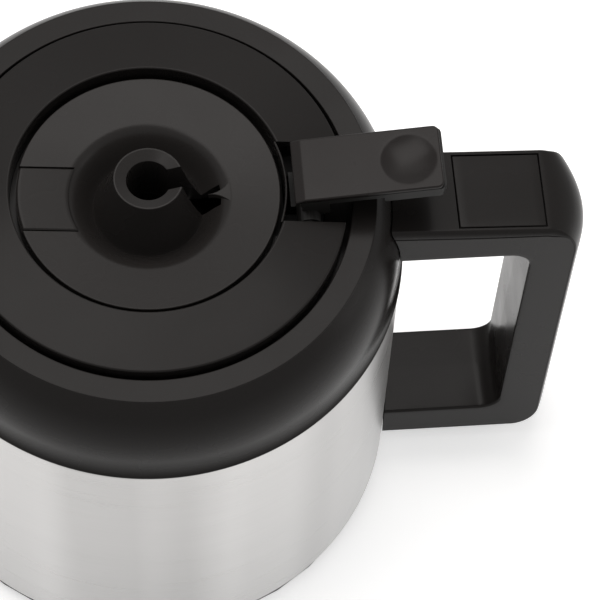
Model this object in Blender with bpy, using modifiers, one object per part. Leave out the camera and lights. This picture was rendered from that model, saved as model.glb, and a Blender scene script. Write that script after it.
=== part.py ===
"""Insulated carafe with a pour-through lid and a thumb lever.

Metres, +Z up.  The origin is the middle of the base pad's lower face, on the carafe's axis.
+X points to the handle, -X to the spout.
"""
import math

import bmesh
import bpy
from mathutils import Matrix, Vector

# ---------------------------------------------------------------- driving dimensions
CLEAR = 0.0003            # gap between pieces that touch or seat
TRIM = 0.0002             # step that keeps two joined faces out of one plane
OVERSHOOT = 0.01          # how far a cutter runs past what it cuts
WIDE_SEGMENTS = 36        # facets of a large turned piece
FINE_SEGMENTS = 28        # facets of a small turned piece

# steel vessel
RIM_Z = 0.1275            # height of the collar's flat ring
LIP_DROP = 0.0275         # from the flat ring down to the steel lip
FOOT_SPREAD = 0.0012      # the steel wall is this much wider at its foot than under its lip
FOOT_Z = 0.0035           # lower edge of the steel wall
STEEL_WALL = 0.0008
LIP_ROLL = 0.0013         # radius of the rolled lip
LIP_FLAT = 0.0014         # level part inside the rolled lip
FOOT_ROLL = 0.0025        # radius of the rolled foot
FOOT_FLANGE = 0.0036      # how far the foot flange turns in
VACUUM_GAP = 0.004        # between the two steel walls
NECK_LEDGE = 0.0077       # from the collar's well in to the flask's neck
NECK_GAP = 0.0014         # between the two steel necks
MOUTH_DROP = 0.0091       # from the flat ring down to the flask's mouth
MOUTH_FLANGE = 0.0005     # the liner's mouth laps this far over the outer neck
SHOULDER_DROP = 0.015     # from the flat ring down to the top of the steel shoulder
LINER_NECK = 0.0079       # straight neck of the liner below its mouth
LINER_SHOULDER_DROP = 0.005   # end of the liner's shoulder below the steel lip
LINER_FLOOR_Z = 0.013
LINER_CORNER = 0.009
FLOOR_INSET = 0.002       # pressed floor's edge inside the steel wall
FLOOR_PRESS = 0.0034      # how far the floor's middle is pressed in
SEAL_R = 0.006            # solder plug of the vacuum seal
SEAL_DEEP = 0.0014
SEAL_TAPER = 0.0008

# collar
WELL_R = 0.0517           # inner edge of the flat ring
RIM_WIDTH = 0.0063        # width of the flat ring
COLLAR_SPREAD = 0.0079    # the steel under the lip stands this far outside the flat ring
COLLAR_WAIST = 0.0008     # the collar's waist inside the steel under the lip
COLLAR_FLARE = 0.0011     # height over which the lower edge turns out
COLLAR_LAND = 0.0005      # upright land under that
WELL_DEPTH = 0.006        # shelf below the flat ring
SHELF_THICK = 0.002
SHELF_INSET = 0.001       # the shelf's inner edge outside the neck bore
COLLAR_WALL = 0.0022
COLLAR_LAP = 0.0003       # the collar's lower edge stands this far outside the steel
EDGE_BREAK = 0.0003       # small broken edge of moulded rims

# spout
SPOUT_REACH = 0.0100      # end of the trough, outside the flat ring
SPOUT_NOSE = 0.0024       # bulge of the lip beyond that
SPOUT_ROOT_HALF = 0.0190
SPOUT_TIP_HALF = 0.0066
SPOUT_TIP_DEPTH = 0.0040
SPOUT_RISE = 0.0012       # lip above the flat ring
SPOUT_WALL = 0.0018
SPOUT_LAP = 0.004         # root of the trough inside the collar's well
CHANNEL_LIFT = 0.002      # the channel's cutter stands this far above the deck
CHANNEL_STEP = 0.0004     # the channel's root above the well's shelf

# lid ring and disc
LID_GAP = 0.00125         # between lid ring and collar
LID_EDGE_RISE = 0.00165   # lid ring's outer edge above the flat ring
LID_EYE_RISE = 0.00426    # lid ring's inner edge above the flat ring
EYE_INSET = 0.005         # lid ring's inner edge inside the lever's axis
LID_WALL = 0.0022
DISC_GAP = 0.0016         # dark groove round the disc
DISC_RISE = 0.00194       # disc's edge above the flat ring
DISH_FALL = 0.15          # slope of the disc towards its middle
DISC_WALL = 0.0018
LEDGE = 0.0035            # ledge that carries the disc
LEDGE_DROP = 0.0035       # ledge below the flat ring
MOAT_R = 0.0200
MOAT_DEPTH = 0.0063
MOAT_FLOOR_R = 0.0140
MOAT_ROUND = 0.0012       # rounding of the moat's upper edge
DOME_R = 0.0088
DOME_RISE = 0.00885
DOME_LAND = 0.0004        # narrow flat round the countersink
DRIP_R = 0.0056           # drip hole and drip tube
TUBE_WALL = 0.0016
DRIP_SINK = 0.0011        # depth of the countersink
SLOT_HALF = 0.0029        # slot from the drip hole towards the lever
SLOT_END_R = 0.0185
TONGUE_TIP_R = 0.0152     # pointed tongue over the slot's end
TONGUE_HALF = 0.0032
TONGUE_WAIST = 0.0009     # how far its sides curve in
INLAY_HALF = 0.0089       # strip on the spout side
INLAY_END_R = 0.0200
INLAY_THICK = 0.0014
INLAY_RISE = 0.0004
INLAY_SEAM = 0.0004

# lid cup, valve
CUP_GAP = 0.0014          # between the cup and the flask's neck
CUP_WALL = 0.0018
CUP_DEPTH = 0.0355        # from the flat ring down to the cup's lower face
CUP_FLOOR = 0.002
CUP_CHAMFER = 0.0015
SEAT_LAP = 0.0045         # the valve covers the cup's floor by this much
SPOKE_HALF = 0.0015
TUBE_DROP = 0.0015        # drip tube below the cup
GASKET_SPAN = 0.004
GASKET_DEPTH = 0.0008     # groove in the cup's wall
GASKET_DROP = 0.0021      # groove below the flask's mouth
GASKET_FIT = 0.0005       # gasket inside the flask's neck
GASKET_ROUND = 0.0006
WINDOW_HALF = 0.012       # pour window towards the spout
WINDOW_DROP = 0.0014      # window's sill below the flask's mouth
WINDOW_HEAD = 0.001       # top of the ring's window below the flat ring
VALVE_GAP = 0.0096        # between the valve and the cup's outside
VALVE_PLATE = 0.0018
VALVE_FLANGE_R = 0.016
VALVE_FLANGE = 0.0015
SLEEVE_WALL = 0.0021
SLEEVE_HEIGHT = 0.0104
SEAL_THICK = 0.0005
SEAL_WIDTH = 0.003
SPRING_WIRE_R = 0.00045
SPRING_INSET = 0.0052     # coil's radius inside the valve's flange
SPRING_TURNS = 4

# thumb lever
HINGE_INSET = 0.0026      # lever's axis inside the cup's outside
HINGE_RISE = 0.0003       # lever's axis above the flat ring
PIN_R = 0.00125
PIN_PLAY = 0.0001         # running clearance on the pin
POCKET_HALF = 0.0115
POCKET_WALL = 0.0025
POCKET_FLOOR = 0.002
CHEEK_INSET = 0.0004      # pocket cheeks inside the ring's skirt
FLANGE_LAP = 0.0006       # lid's lower flange over the flask's neck
LEG_SWING = 0.0016        # room behind the leg for its swing in the floor's slot
LEG_GAP = 0.0006
LEVER_HALF = 0.0089
LEVER_OVERHANG = 0.0030   # lever's inner end inside its axis
LEVER_LENGTH = 0.0367
LEVER_RISE = 0.0091       # top of the lever's inner end above the flat ring
LEVER_TILT = math.radians(6.5)
LEVER_CAP = 0.0010
LEVER_CHAMFER = 0.0021    # length of the slope at the cap's inner end
LEVER_SLOPE = 0.0007      # drop of that slope
LEVER_PLATE = 0.0016
LEVER_PEEK = 0.0006       # carrier beyond the cap's outer end
LEVER_PAD = 0.0039        # depth of the thick outer part of the carrier
LEVER_PAD_START = 0.0215  # from the lever's inner end
LEVER_CORNER = 0.0016
THUMB_AT = 0.0285         # middle of the thumb dimple, from the lever's inner end
THUMB_R = 0.0071
THUMB_DEPTH = 0.0019
THUMB_BOSS_R = 0.0058     # thick middle of the cap under the dimple
THUMB_BOSS_DEPTH = 0.0032
HUB_R = 0.0030
HUB_GAP = 0.0006          # between the hub's ends and the pocket's cheeks
PIN_STOP = 0.0008         # wall left beyond the pin's ends
WEB_START = 0.0006        # web's face inside the lever's inner end
WEB_HALF = 0.0083
WEB_LENGTH = 0.0075
LEG_HALF = 0.005
LEG_THICK = 0.0026
LEG_SETBACK = 0.0016      # leg's outer face inside the hinge axis
LEG_DROP = 0.0008         # leg's top below the hinge axis
YOKE_REACH = 0.0056
FORK_THICK = 0.0023
TINE_INNER = 0.0104
TINE_OUTER = 0.0132
TINE_TIP_X = 0.008

# handle
HANDLE_WIDTH = 0.0251
HANDLE_REACH = 0.0471     # crown of the grip outside the steel lip
HANDLE_CROWN = 0.0019     # how far the grip's outer face bulges
HANDLE_TOP_DROP = 0.0060  # top face below the flat ring, where the panel starts
HANDLE_TOP_FALL = math.radians(3.3)
BAR_UNDER_DROP = 0.0194   # underside of the upper bar below the flat ring
GRIP_THICK = 0.0147
FOOT_BAR_TOP = 0.0185
FOOT_BAR_LOW = 0.0060
CORNER_TOP = 0.0115
CORNER_LOW = 0.0095
WINDOW_CORNER = 0.0058
HANDLE_EDGE = 0.0012
PANEL_START = 0.0126      # from the steel lip's radius
PANEL_LENGTH = 0.0230
PANEL_HALF = 0.0108
PANEL_THICK = 0.0020
PANEL_SEAM = 0.00035
PANEL_LEDGE = 0.0024
SCREW_R = 0.0019
SCREW_DROP = 0.0065       # upper screw below the handle's top face
BOSS_R = 0.0045
BOSS_END = 0.0015         # closed end of the boss
BOSS_GAP = 0.0011         # between the boss and the well's wall
BOSS_SEAT = 0.0008        # the boss runs this far into the collar's outer wall
SCREW_HEAD_R = 0.0035
SCREW_HEAD = 0.0022
BRACKET_HALF = 0.007
BRACKET_PLATE = 0.0012
BRACKET_TONGUE = 0.0115
BRACKET_TONGUE_HALF = 0.0055
BRACKET_HEIGHT = 0.0084
TONGUE_PLATE = 0.002
HEAD_GAP = 0.0009         # under the upper screw's head
FOOT_SCREW_INSET = 0.0045 # foot screw inside the tongue's end
FOOT_SCREW_REACH = 0.003  # foot screw above the tongue's middle
HANDLE_ROOT = 0.004       # the outline starts this far inside the flat ring's edge
HANDLE_FLOOR = 0.0026     # wall left under the pit

# base
PAD_R = 0.045
PAD_THICK = 0.0016
PAD_PROUD = 0.0006
PAD_CHAMFER = 0.0004
BASE_WALL = 0.002
BASE_INSET = 0.0009       # base cap inside the steel wall
BASE_RIM = 0.0015
BASE_ROUND = 0.001
CLAMP_INSET = 0.0002      # neck clamp inside the collar's well
CLAMP_CHAMFER = 0.0008
NECK_GASKET_INSET = 0.0012

# ---------------------------------------------------------------- derived places
RIM_R = WELL_R + RIM_WIDTH
LIP_R = RIM_R + COLLAR_SPREAD
FOOT_R = LIP_R + FOOT_SPREAD
NECK_BORE_R = WELL_R - NECK_LEDGE
CUP_R = NECK_BORE_R - CUP_GAP
VALVE_R = CUP_R - VALVE_GAP
SEAT_R = VALVE_R - SEAT_LAP
HINGE_X = CUP_R - HINGE_INSET
LEVER_INNER_X = HINGE_X - LEVER_OVERHANG
LID_EYE_R = HINGE_X - EYE_INSET
LIP_Z = RIM_Z - LIP_DROP
MOUTH_Z = RIM_Z - MOUTH_DROP
SHELF_Z = RIM_Z - WELL_DEPTH
LINER_NECK_R = NECK_BORE_R + STEEL_WALL
SHELL_NECK_R = LINER_NECK_R + NECK_GAP + STEEL_WALL
SHELL_NECK_TOP = MOUTH_Z - STEEL_WALL - CLEAR
LINER_R = LIP_R - STEEL_WALL - VACUUM_GAP
LID_R = WELL_R - LID_GAP
DISC_R = LID_EYE_R - DISC_GAP
LEDGE_Z = RIM_Z - LEDGE_DROP
LID_FLOOR_Z = LEDGE_Z - POCKET_FLOOR
TUBE_R = DRIP_R + TUBE_WALL
DISC_UNDER_Z = RIM_Z - MOAT_DEPTH - DISC_WALL
CUP_FLOOR_Z = RIM_Z - CUP_DEPTH + CUP_FLOOR
VALVE_Z = CUP_FLOOR_Z + SEAL_THICK + 2 * CLEAR
FLANGE_Z = VALVE_Z + VALVE_PLATE + SLEEVE_HEIGHT - VALVE_FLANGE
SLEEVE_BORE_R = TUBE_R + CLEAR
SLEEVE_R = SLEEVE_BORE_R + SLEEVE_WALL
SPRING_R = VALVE_FLANGE_R - SPRING_INSET
HINGE_Z = RIM_Z + HINGE_RISE
HINGE = Vector((HINGE_X, 0.0, HINGE_Z))
HANDLE_HALF = HANDLE_WIDTH / 2
GRIP_X = LIP_R + HANDLE_REACH
PANEL_X = LIP_R + PANEL_START
HANDLE_TOP_Z = RIM_Z - HANDLE_TOP_DROP
SCREW_BORE_R = SCREW_R + CLEAR
SCREW_Z = HANDLE_TOP_Z - SCREW_DROP
FOOT_BAR_MID = (FOOT_BAR_TOP + FOOT_BAR_LOW) / 2
BRACKET_LOW = FOOT_BAR_MID - BRACKET_HEIGHT / 2
BRACKET_TOP = FOOT_BAR_MID + BRACKET_HEIGHT / 2
FOOT_SCREW_TOP = FOOT_BAR_MID + FOOT_SCREW_REACH


# ---------------------------------------------------------------- scene and materials
def clear_scene():
    for old in list(bpy.data.objects):
        bpy.data.objects.remove(old, do_unlink=True)


def new_collection(name):
    made = bpy.data.collections.new(name)
    bpy.context.scene.collection.children.link(made)
    return made


clear_scene()
PARTS = new_collection("insulated_carafe")
CUTTERS = new_collection("cutters")


def finish(name, colour, roughness, metallic=0.0):
    """A Principled material of one colour."""
    made = bpy.data.materials.new(name)
    made.use_nodes = True
    shader = made.node_tree.nodes["Principled BSDF"]
    shader.inputs["Base Color"].default_value = (*colour, 1.0)
    shader.inputs["Roughness"].default_value = roughness
    shader.inputs["Metallic"].default_value = metallic
    return made


def black_plastic(name, roughness=0.38):
    return finish(name, (0.020, 0.018, 0.017), roughness)


def steel(name, roughness=0.3):
    return finish(name, (0.62, 0.61, 0.60), roughness, 1.0)


def silicone(name):
    return finish(name, (0.10, 0.10, 0.10), 0.7)


# ---------------------------------------------------------------- mesh helpers
def object_from(name, mesh, collection=PARTS, location=(0.0, 0.0, 0.0)):
    made = bpy.data.objects.new(name, mesh)
    collection.objects.link(made)
    made.location = location
    return made


def as_cutter(thing):
    """Keep an object as a tool only."""
    for home in list(thing.users_collection):
        home.objects.unlink(thing)
    CUTTERS.objects.link(thing)
    thing.hide_render = True
    thing.display_type = "WIRE"
    return thing


def dress(thing, material, angle=35.0):
    thing.data.materials.append(material)
    if isinstance(thing.data, bpy.types.Mesh) and thing.data.polygons:
        thing.data.shade_smooth()
        thing.data.set_sharp_from_angle(angle=math.radians(angle))
    return thing


def turned(name, profile, segments, closed=True, wall=0.0, location=(0.0, 0.0, 0.0)):
    """Turn a profile of (radius, height) points about Z; an open one gets a wall inwards."""
    mesh = bpy.data.meshes.new(name)
    points = [(r, 0.0, z) for r, z in profile]
    links = [(i, i + 1) for i in range(len(points) - 1)]
    if closed:
        links.append((len(points) - 1, 0))
    mesh.from_pydata(points, links, [])
    thing = object_from(name, mesh, location=location)
    screw = thing.modifiers.new("turn", "SCREW")
    screw.steps = segments
    screw.render_steps = segments
    screw.use_merge_vertices = True
    screw.merge_threshold = 0.00001
    screw.use_smooth_shade = True
    if wall:
        shell = thing.modifiers.new("wall", "SOLIDIFY")
        shell.thickness = wall
        shell.offset = -1.0
        shell.use_even_offset = True
    return thing


def box(name, low, high, location=(0.0, 0.0, 0.0)):
    """A block between two corners, in the object's own coordinates."""
    mesh = bpy.data.meshes.new(name)
    work = bmesh.new()
    bmesh.ops.create_cube(work, size=1.0)
    size = [h - l for l, h in zip(low, high)]
    middle = [(h + l) / 2 for l, h in zip(low, high)]
    bmesh.ops.scale(work, vec=size, verts=work.verts)
    bmesh.ops.translate(work, vec=middle, verts=work.verts)
    work.to_mesh(mesh)
    work.free()
    return object_from(name, mesh, location=location)


def rod(name, radius, start, end, segments=24, location=(0.0, 0.0, 0.0)):
    """A cylinder from one point to another."""
    start, end = Vector(start), Vector(end)
    along = end - start
    mesh = bpy.data.meshes.new(name)
    work = bmesh.new()
    bmesh.ops.create_cone(work, cap_ends=True, segments=segments, radius1=radius,
                          radius2=radius, depth=along.length)
    turn = Vector((0.0, 0.0, 1.0)).rotation_difference(along).to_matrix().to_4x4()
    place = Matrix.Translation((start + end) / 2) @ turn
    bmesh.ops.transform(work, matrix=place, verts=work.verts)
    work.to_mesh(mesh)
    work.free()
    return object_from(name, mesh, location=location)


def reshape(thing, tool, how):
    step = thing.modifiers.new(how.lower(), "BOOLEAN")
    step.operation = how
    step.solver = "EXACT"
    step.object = as_cutter(tool)
    return thing


def cut(thing, *tools):
    for tool in tools:
        reshape(thing, tool, "DIFFERENCE")
    return thing


def join(thing, *tools):
    for tool in tools:
        reshape(thing, tool, "UNION")
    return thing


def settle(thing):
    """Replace an object's mesh with its evaluated mesh and drop its modifiers."""
    seen = thing.evaluated_get(bpy.context.evaluated_depsgraph_get())
    mesh = bpy.data.meshes.new_from_object(seen)
    thing.modifiers.clear()
    thing.data = mesh
    return thing


def flat_outline(name, points, half_thickness, upright=False):
    """A filled outline, thickened both ways: in XY, or in XZ when upright."""
    curve = bpy.data.curves.new(name, "CURVE")
    curve.dimensions = "2D"
    curve.fill_mode = "BOTH"
    curve.extrude = half_thickness
    line = curve.splines.new("POLY")
    line.points.add(len(points) - 1)
    for spot, (u, v) in zip(line.points, points):
        spot.co = (u, v, 0.0, 1.0)
    line.use_cyclic_u = True
    drawn = object_from(name + "_outline", curve)
    bpy.context.view_layer.update()
    seen = drawn.evaluated_get(bpy.context.evaluated_depsgraph_get())
    mesh = bpy.data.meshes.new_from_object(seen)
    work = bmesh.new()
    work.from_mesh(mesh)
    bmesh.ops.remove_doubles(work, verts=work.verts, dist=0.000001)
    bmesh.ops.dissolve_limit(work, angle_limit=math.radians(0.5), verts=work.verts, edges=work.edges)
    if upright:
        bmesh.ops.rotate(work, cent=(0, 0, 0), verts=work.verts,
                         matrix=Matrix.Rotation(math.radians(90), 3, "X"))
    bmesh.ops.recalc_face_normals(work, faces=work.faces)
    work.to_mesh(mesh)
    work.free()
    bpy.data.objects.remove(drawn, do_unlink=True)
    return object_from(name, mesh)


def move_mesh(thing, matrix):
    thing.data.transform(matrix)
    return thing


# ---------------------------------------------------------------- curve helpers
def bezier(a, b, c, d, steps):
    """Points along a cubic curve, ends included."""
    out = []
    for i in range(steps + 1):
        t = i / steps
        s = 1 - t
        weights = (s * s * s, 3 * s * s * t, 3 * s * t * t, t * t * t)
        out.append(tuple(sum(w * p[k] for w, p in zip(weights, (a, b, c, d))) for k in (0, 1)))
    return out


def arc(centre, radius, start, end, steps):
    """Points along an arc, angles in degrees, ends included."""
    out = []
    for i in range(steps + 1):
        angle = math.radians(start + (end - start) * i / steps)
        out.append((centre[0] + radius * math.cos(angle), centre[1] + radius * math.sin(angle)))
    return out


def shifted(points, distance):
    """The same line moved sideways, to the right of its direction."""
    out = []
    for i, here in enumerate(points):
        before = points[max(i - 1, 0)]
        after = points[min(i + 1, len(points) - 1)]
        along = Vector((after[0] - before[0], after[1] - before[1])).normalized()
        out.append((here[0] + along.y * distance, here[1] - along.x * distance))
    return out


# ---------------------------------------------------------------- outlines shared by pieces
def collar_flank():
    """Outer side of the collar, from the flat ring down to its flared lower edge."""
    waist_r = LIP_R - COLLAR_WAIST
    waist_z = RIM_Z - 0.71 * LIP_DROP
    fall = RIM_Z - EDGE_BREAK - waist_z
    edge = (LIP_R + COLLAR_LAP, LIP_Z + CLEAR + COLLAR_LAND)
    turn_r = RIM_R + 0.49 * (waist_r - RIM_R)
    shoulder = bezier((RIM_R, RIM_Z - EDGE_BREAK), (turn_r, RIM_Z - EDGE_BREAK - 0.16 * fall),
                      (waist_r, RIM_Z - 0.50 * fall), (waist_r, waist_z), 6)
    flare = bezier((waist_r, waist_z), (waist_r, waist_z - 0.5 * (waist_z - edge[1])),
                   (waist_r + COLLAR_LAP, edge[1] + COLLAR_FLARE), edge, 3)
    return shoulder + flare[1:]


def vessel_outline(clear):
    """Collar and steel wall together, grown by a clearance, from the axis out and down."""
    line = [(RIM_R, RIM_Z - EDGE_BREAK)] + collar_flank()[1:] + [(LIP_R + COLLAR_LAP, LIP_Z + CLEAR)]
    line += [(LIP_R + COLLAR_LAP, LIP_Z - LIP_ROLL), (FOOT_R, FOOT_Z + FOOT_ROLL), (FOOT_R, 0.0)]
    grown = [(r + clear, z) for r, z in line]
    top, low = RIM_Z + OVERSHOOT, -OVERSHOOT
    return [(0.0, top), (RIM_R + clear, top)] + grown + [(FOOT_R + clear, low), (0.0, low)]


def lid_cone_z(radius):
    """Height of the lid ring's upper face."""
    share = (radius - LID_EYE_R) / (LID_R - LID_EYE_R)
    return RIM_Z + LID_EYE_RISE + share * (LID_EDGE_RISE - LID_EYE_RISE)


def dish_z(radius):
    """Height of the disc's upper face."""
    return RIM_Z + DISC_RISE - (DISC_R - radius) * DISH_FALL


# ---------------------------------------------------------------- steel vessel
def make_outer_shell():
    line = [(SHELL_NECK_R, SHELL_NECK_TOP), (SHELL_NECK_R, RIM_Z - SHOULDER_DROP),
            (LIP_R - LIP_ROLL - LIP_FLAT, LIP_Z)]
    line += arc((LIP_R - LIP_ROLL, LIP_Z - LIP_ROLL), LIP_ROLL, 90, 0, 3)
    line += arc((FOOT_R - FOOT_ROLL, FOOT_Z + FOOT_ROLL), FOOT_ROLL, 0, -90, 2)
    line += [(FOOT_R - FOOT_ROLL - FOOT_FLANGE, FOOT_Z)]
    shell = turned("outer_shell", line, WIDE_SEGMENTS, closed=False, wall=STEEL_WALL)
    dress(shell, steel("brushed_steel_wall", 0.34))


def make_inner_liner():
    line = [(SHELL_NECK_R + MOUTH_FLANGE, MOUTH_Z - STEEL_WALL), (LINER_NECK_R, MOUTH_Z - STEEL_WALL),
            (LINER_NECK_R, MOUTH_Z - LINER_NECK), (LINER_R, LIP_Z - LINER_SHOULDER_DROP)]
    line += arc((LINER_R - LINER_CORNER, LINER_FLOOR_Z + LINER_CORNER), LINER_CORNER, 0, -90, 3)
    line += [(0.0, LINER_FLOOR_Z)]
    liner = turned("inner_liner", line, WIDE_SEGMENTS, closed=False, wall=STEEL_WALL)
    dress(liner, steel("polished_steel_flask", 0.15))


def make_shell_floor():
    rim = FOOT_R - FLOOR_INSET
    low = FOOT_Z + STEEL_WALL + CLEAR
    crown = low + FLOOR_PRESS
    line = [(0.0, crown + STEEL_WALL), (0.62 * rim, crown + STEEL_WALL), (0.80 * rim, low + STEEL_WALL),
            (rim, low + STEEL_WALL), (rim, low), (0.80 * rim, low), (0.62 * rim, crown), (0.0, crown)]
    floor = turned("shell_floor", line, WIDE_SEGMENTS, closed=False)
    dress(floor, steel("pressed_steel_floor", 0.4))
    top = crown - CLEAR
    line = [(0.0, top), (SEAL_R, top), (SEAL_R - SEAL_TAPER, top - SEAL_DEEP), (0.0, top - SEAL_DEEP)]
    seal = turned("vacuum_seal", line, 24, closed=False)
    dress(seal, finish("solder_plug", (0.45, 0.45, 0.44), 0.5, 1.0))


def make_base():
    outer = FOOT_R - BASE_INSET
    spigot = FOOT_R - FOOT_ROLL - FOOT_FLANGE - CLEAR
    floor_z = PAD_PROUD + BASE_WALL
    recess = PAD_THICK + CLEAR
    deck = recess + BASE_WALL
    spigot_top = FOOT_Z + STEEL_WALL
    top = FOOT_Z - CLEAR
    line = [(0.0, deck), (spigot - BASE_RIM, deck), (spigot - BASE_RIM, spigot_top), (spigot, spigot_top),
            (spigot, floor_z), (outer - BASE_RIM, floor_z), (outer - BASE_RIM, top), (outer, top),
            (outer, PAD_PROUD + BASE_ROUND), (outer - BASE_ROUND, PAD_PROUD), (PAD_R + CLEAR, PAD_PROUD),
            (PAD_R + CLEAR, recess), (0.0, recess)]
    cap = turned("base_cap", line, WIDE_SEGMENTS, closed=False)
    dress(cap, black_plastic("base_plastic", 0.5))
    line = [(0.0, PAD_THICK), (PAD_R, PAD_THICK), (PAD_R, PAD_CHAMFER), (PAD_R - PAD_CHAMFER, 0.0),
            (0.0, 0.0)]
    pad = turned("base_pad", line, WIDE_SEGMENTS, closed=False)
    dress(pad, silicone("non_slip_rubber"))


# ---------------------------------------------------------------- collar and neck
def trough(name, halves, depths, ends, decks, nose):
    """A loft of rounded U sections along -X, each value given at its root and at its tip."""
    stations, around = 6, 10
    work = bmesh.new()
    rings = []
    for i in range(stations):
        t = i / (stations - 1)
        late = (1 - t) ** 1.5
        half = halves[1] + (halves[0] - halves[1]) * late
        deep = depths[1] + (depths[0] - depths[1]) * (1 - t * t)
        deck = decks[0] + (decks[1] - decks[0]) * t
        ring = []
        for k in range(around + 1):
            angle = math.pi * k / around
            side = math.copysign(abs(math.cos(angle)) ** 0.75, math.cos(angle))
            reach = ends[0] + (ends[1] - ends[0]) * t + nose * t * (1 - side * side)
            ring.append(work.verts.new((-reach, half * side, deck - deep * math.sin(angle) ** 0.75)))
        rings.append(ring)
    for near, far in zip(rings, rings[1:]):
        for k in range(around):
            work.faces.new((near[k], near[k + 1], far[k + 1], far[k]))
        work.faces.new((near[around], near[0], far[0], far[around]))
    for ring in (rings[0], rings[-1]):
        hub = work.verts.new(sum((v.co for v in ring), Vector()) / len(ring))
        for k in range(around + 1):
            work.faces.new((ring[k], ring[(k + 1) % (around + 1)], hub))
    bmesh.ops.recalc_face_normals(work, faces=work.faces)
    mesh = bpy.data.meshes.new(name)
    work.to_mesh(mesh)
    work.free()
    return object_from(name, mesh)


def make_collar():
    flank = collar_flank()
    foot_z = LIP_Z + CLEAR
    well_wall = WELL_R + COLLAR_WALL
    inside = [p for p in shifted(flank[::2], COLLAR_WALL)
              if foot_z + COLLAR_FLARE < p[1] < RIM_Z - COLLAR_WALL and p[0] > well_wall + BOSS_GAP]
    shelf_r = NECK_BORE_R + SHELF_INSET
    line = [(WELL_R + EDGE_BREAK, RIM_Z), (RIM_R - EDGE_BREAK, RIM_Z)] + flank
    line += [(LIP_R + COLLAR_LAP, foot_z), (LIP_R + COLLAR_LAP - COLLAR_WALL, foot_z)]
    line += list(reversed(inside))
    line += [(well_wall, RIM_Z - COLLAR_WALL), (well_wall, SHELF_Z - SHELF_THICK),
             (shelf_r, SHELF_Z - SHELF_THICK), (shelf_r, SHELF_Z), (WELL_R, SHELF_Z),
             (WELL_R, RIM_Z - EDGE_BREAK)]
    collar = turned("collar", line, WIDE_SEGMENTS)

    root, tip = WELL_R - SPOUT_LAP, RIM_R + SPOUT_REACH
    hull = trough("spout_hull", (SPOUT_ROOT_HALF, SPOUT_TIP_HALF), (WELL_DEPTH + SPOUT_WALL, SPOUT_TIP_DEPTH),
                  (root, tip), (RIM_Z - TRIM, RIM_Z + SPOUT_RISE), SPOUT_NOSE)
    well = rod("well_space", WELL_R + COLLAR_WALL / 2, (0, 0, RIM_Z - 2 * OVERSHOOT),
               (0, 0, RIM_Z + OVERSHOOT), WIDE_SEGMENTS)
    settle(cut(hull, well))
    deep = CHANNEL_LIFT - CHANNEL_STEP
    channel = trough("spout_channel", (SPOUT_ROOT_HALF - SPOUT_WALL, SPOUT_TIP_HALF - SPOUT_WALL),
                     (WELL_DEPTH + deep, SPOUT_TIP_DEPTH - SPOUT_WALL + CHANNEL_LIFT),
                     (root - SPOUT_LAP, tip + TRIM),
                     (RIM_Z + CHANNEL_LIFT, RIM_Z + SPOUT_RISE + CHANNEL_LIFT), SPOUT_NOSE)
    boss_start = well_wall + BOSS_GAP
    boss_end = LIP_R - COLLAR_WALL - BOSS_SEAT
    boss = rod("screw_boss", BOSS_R, (boss_start, 0, SCREW_Z), (boss_end, 0, SCREW_Z))
    bore = rod("screw_bore", SCREW_BORE_R, (boss_start + BOSS_END, 0, SCREW_Z),
               (LIP_R + OVERSHOOT, 0, SCREW_Z))
    join(collar, hull, boss)
    cut(collar, channel, bore)
    dress(settle(collar), black_plastic("collar_plastic"))


def make_neck_pieces():
    inner = SHELL_NECK_R + CLEAR
    step = SHELL_NECK_R + MOUTH_FLANGE + CLEAR
    outer = WELL_R - CLAMP_INSET
    low = RIM_Z - SHOULDER_DROP + CLEAR
    top = SHELF_Z - SHELF_THICK - CLEAR
    line = [(step, top), (outer, top), (outer, low + CLAMP_CHAMFER), (outer - CLAMP_CHAMFER, low),
            (inner, low), (inner, SHELL_NECK_TOP), (step, SHELL_NECK_TOP)]
    clamp = turned("neck_clamp", line, WIDE_SEGMENTS)
    dress(clamp, black_plastic("clamp_plastic", 0.5))
    low = MOUTH_Z + CLEAR
    inner = NECK_BORE_R + NECK_GASKET_INSET
    gasket = turned("neck_gasket", [(inner, top), (SHELL_NECK_R, top), (SHELL_NECK_R, low), (inner, low)],
                    WIDE_SEGMENTS)
    dress(gasket, silicone("neck_silicone"))


# ---------------------------------------------------------------- lid
def lid_ring_section():
    """Section of the lid ring: cone, skirt, wall round the eye, and the floor that carries the disc."""
    eye_z, edge_z = lid_cone_z(LID_EYE_R), lid_cone_z(LID_R)
    skirt = SHELF_Z + CLEAR
    flange_r = NECK_BORE_R + FLANGE_LAP
    inner_wall = LID_EYE_R + LID_WALL
    return [(LID_EYE_R + EDGE_BREAK, eye_z), (LID_R - EDGE_BREAK, edge_z), (LID_R, edge_z - EDGE_BREAK),
            (LID_R, skirt), (LID_R - LID_WALL, skirt), (LID_R - LID_WALL, edge_z - LID_WALL),
            (inner_wall, lid_cone_z(inner_wall) - LID_WALL), (inner_wall, LEDGE_Z), (flange_r, LEDGE_Z),
            (flange_r, LID_FLOOR_Z), (LID_EYE_R - LEDGE, LID_FLOOR_Z), (LID_EYE_R - LEDGE, LEDGE_Z),
            (LID_EYE_R, LEDGE_Z), (LID_EYE_R, eye_z - EDGE_BREAK)]


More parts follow.
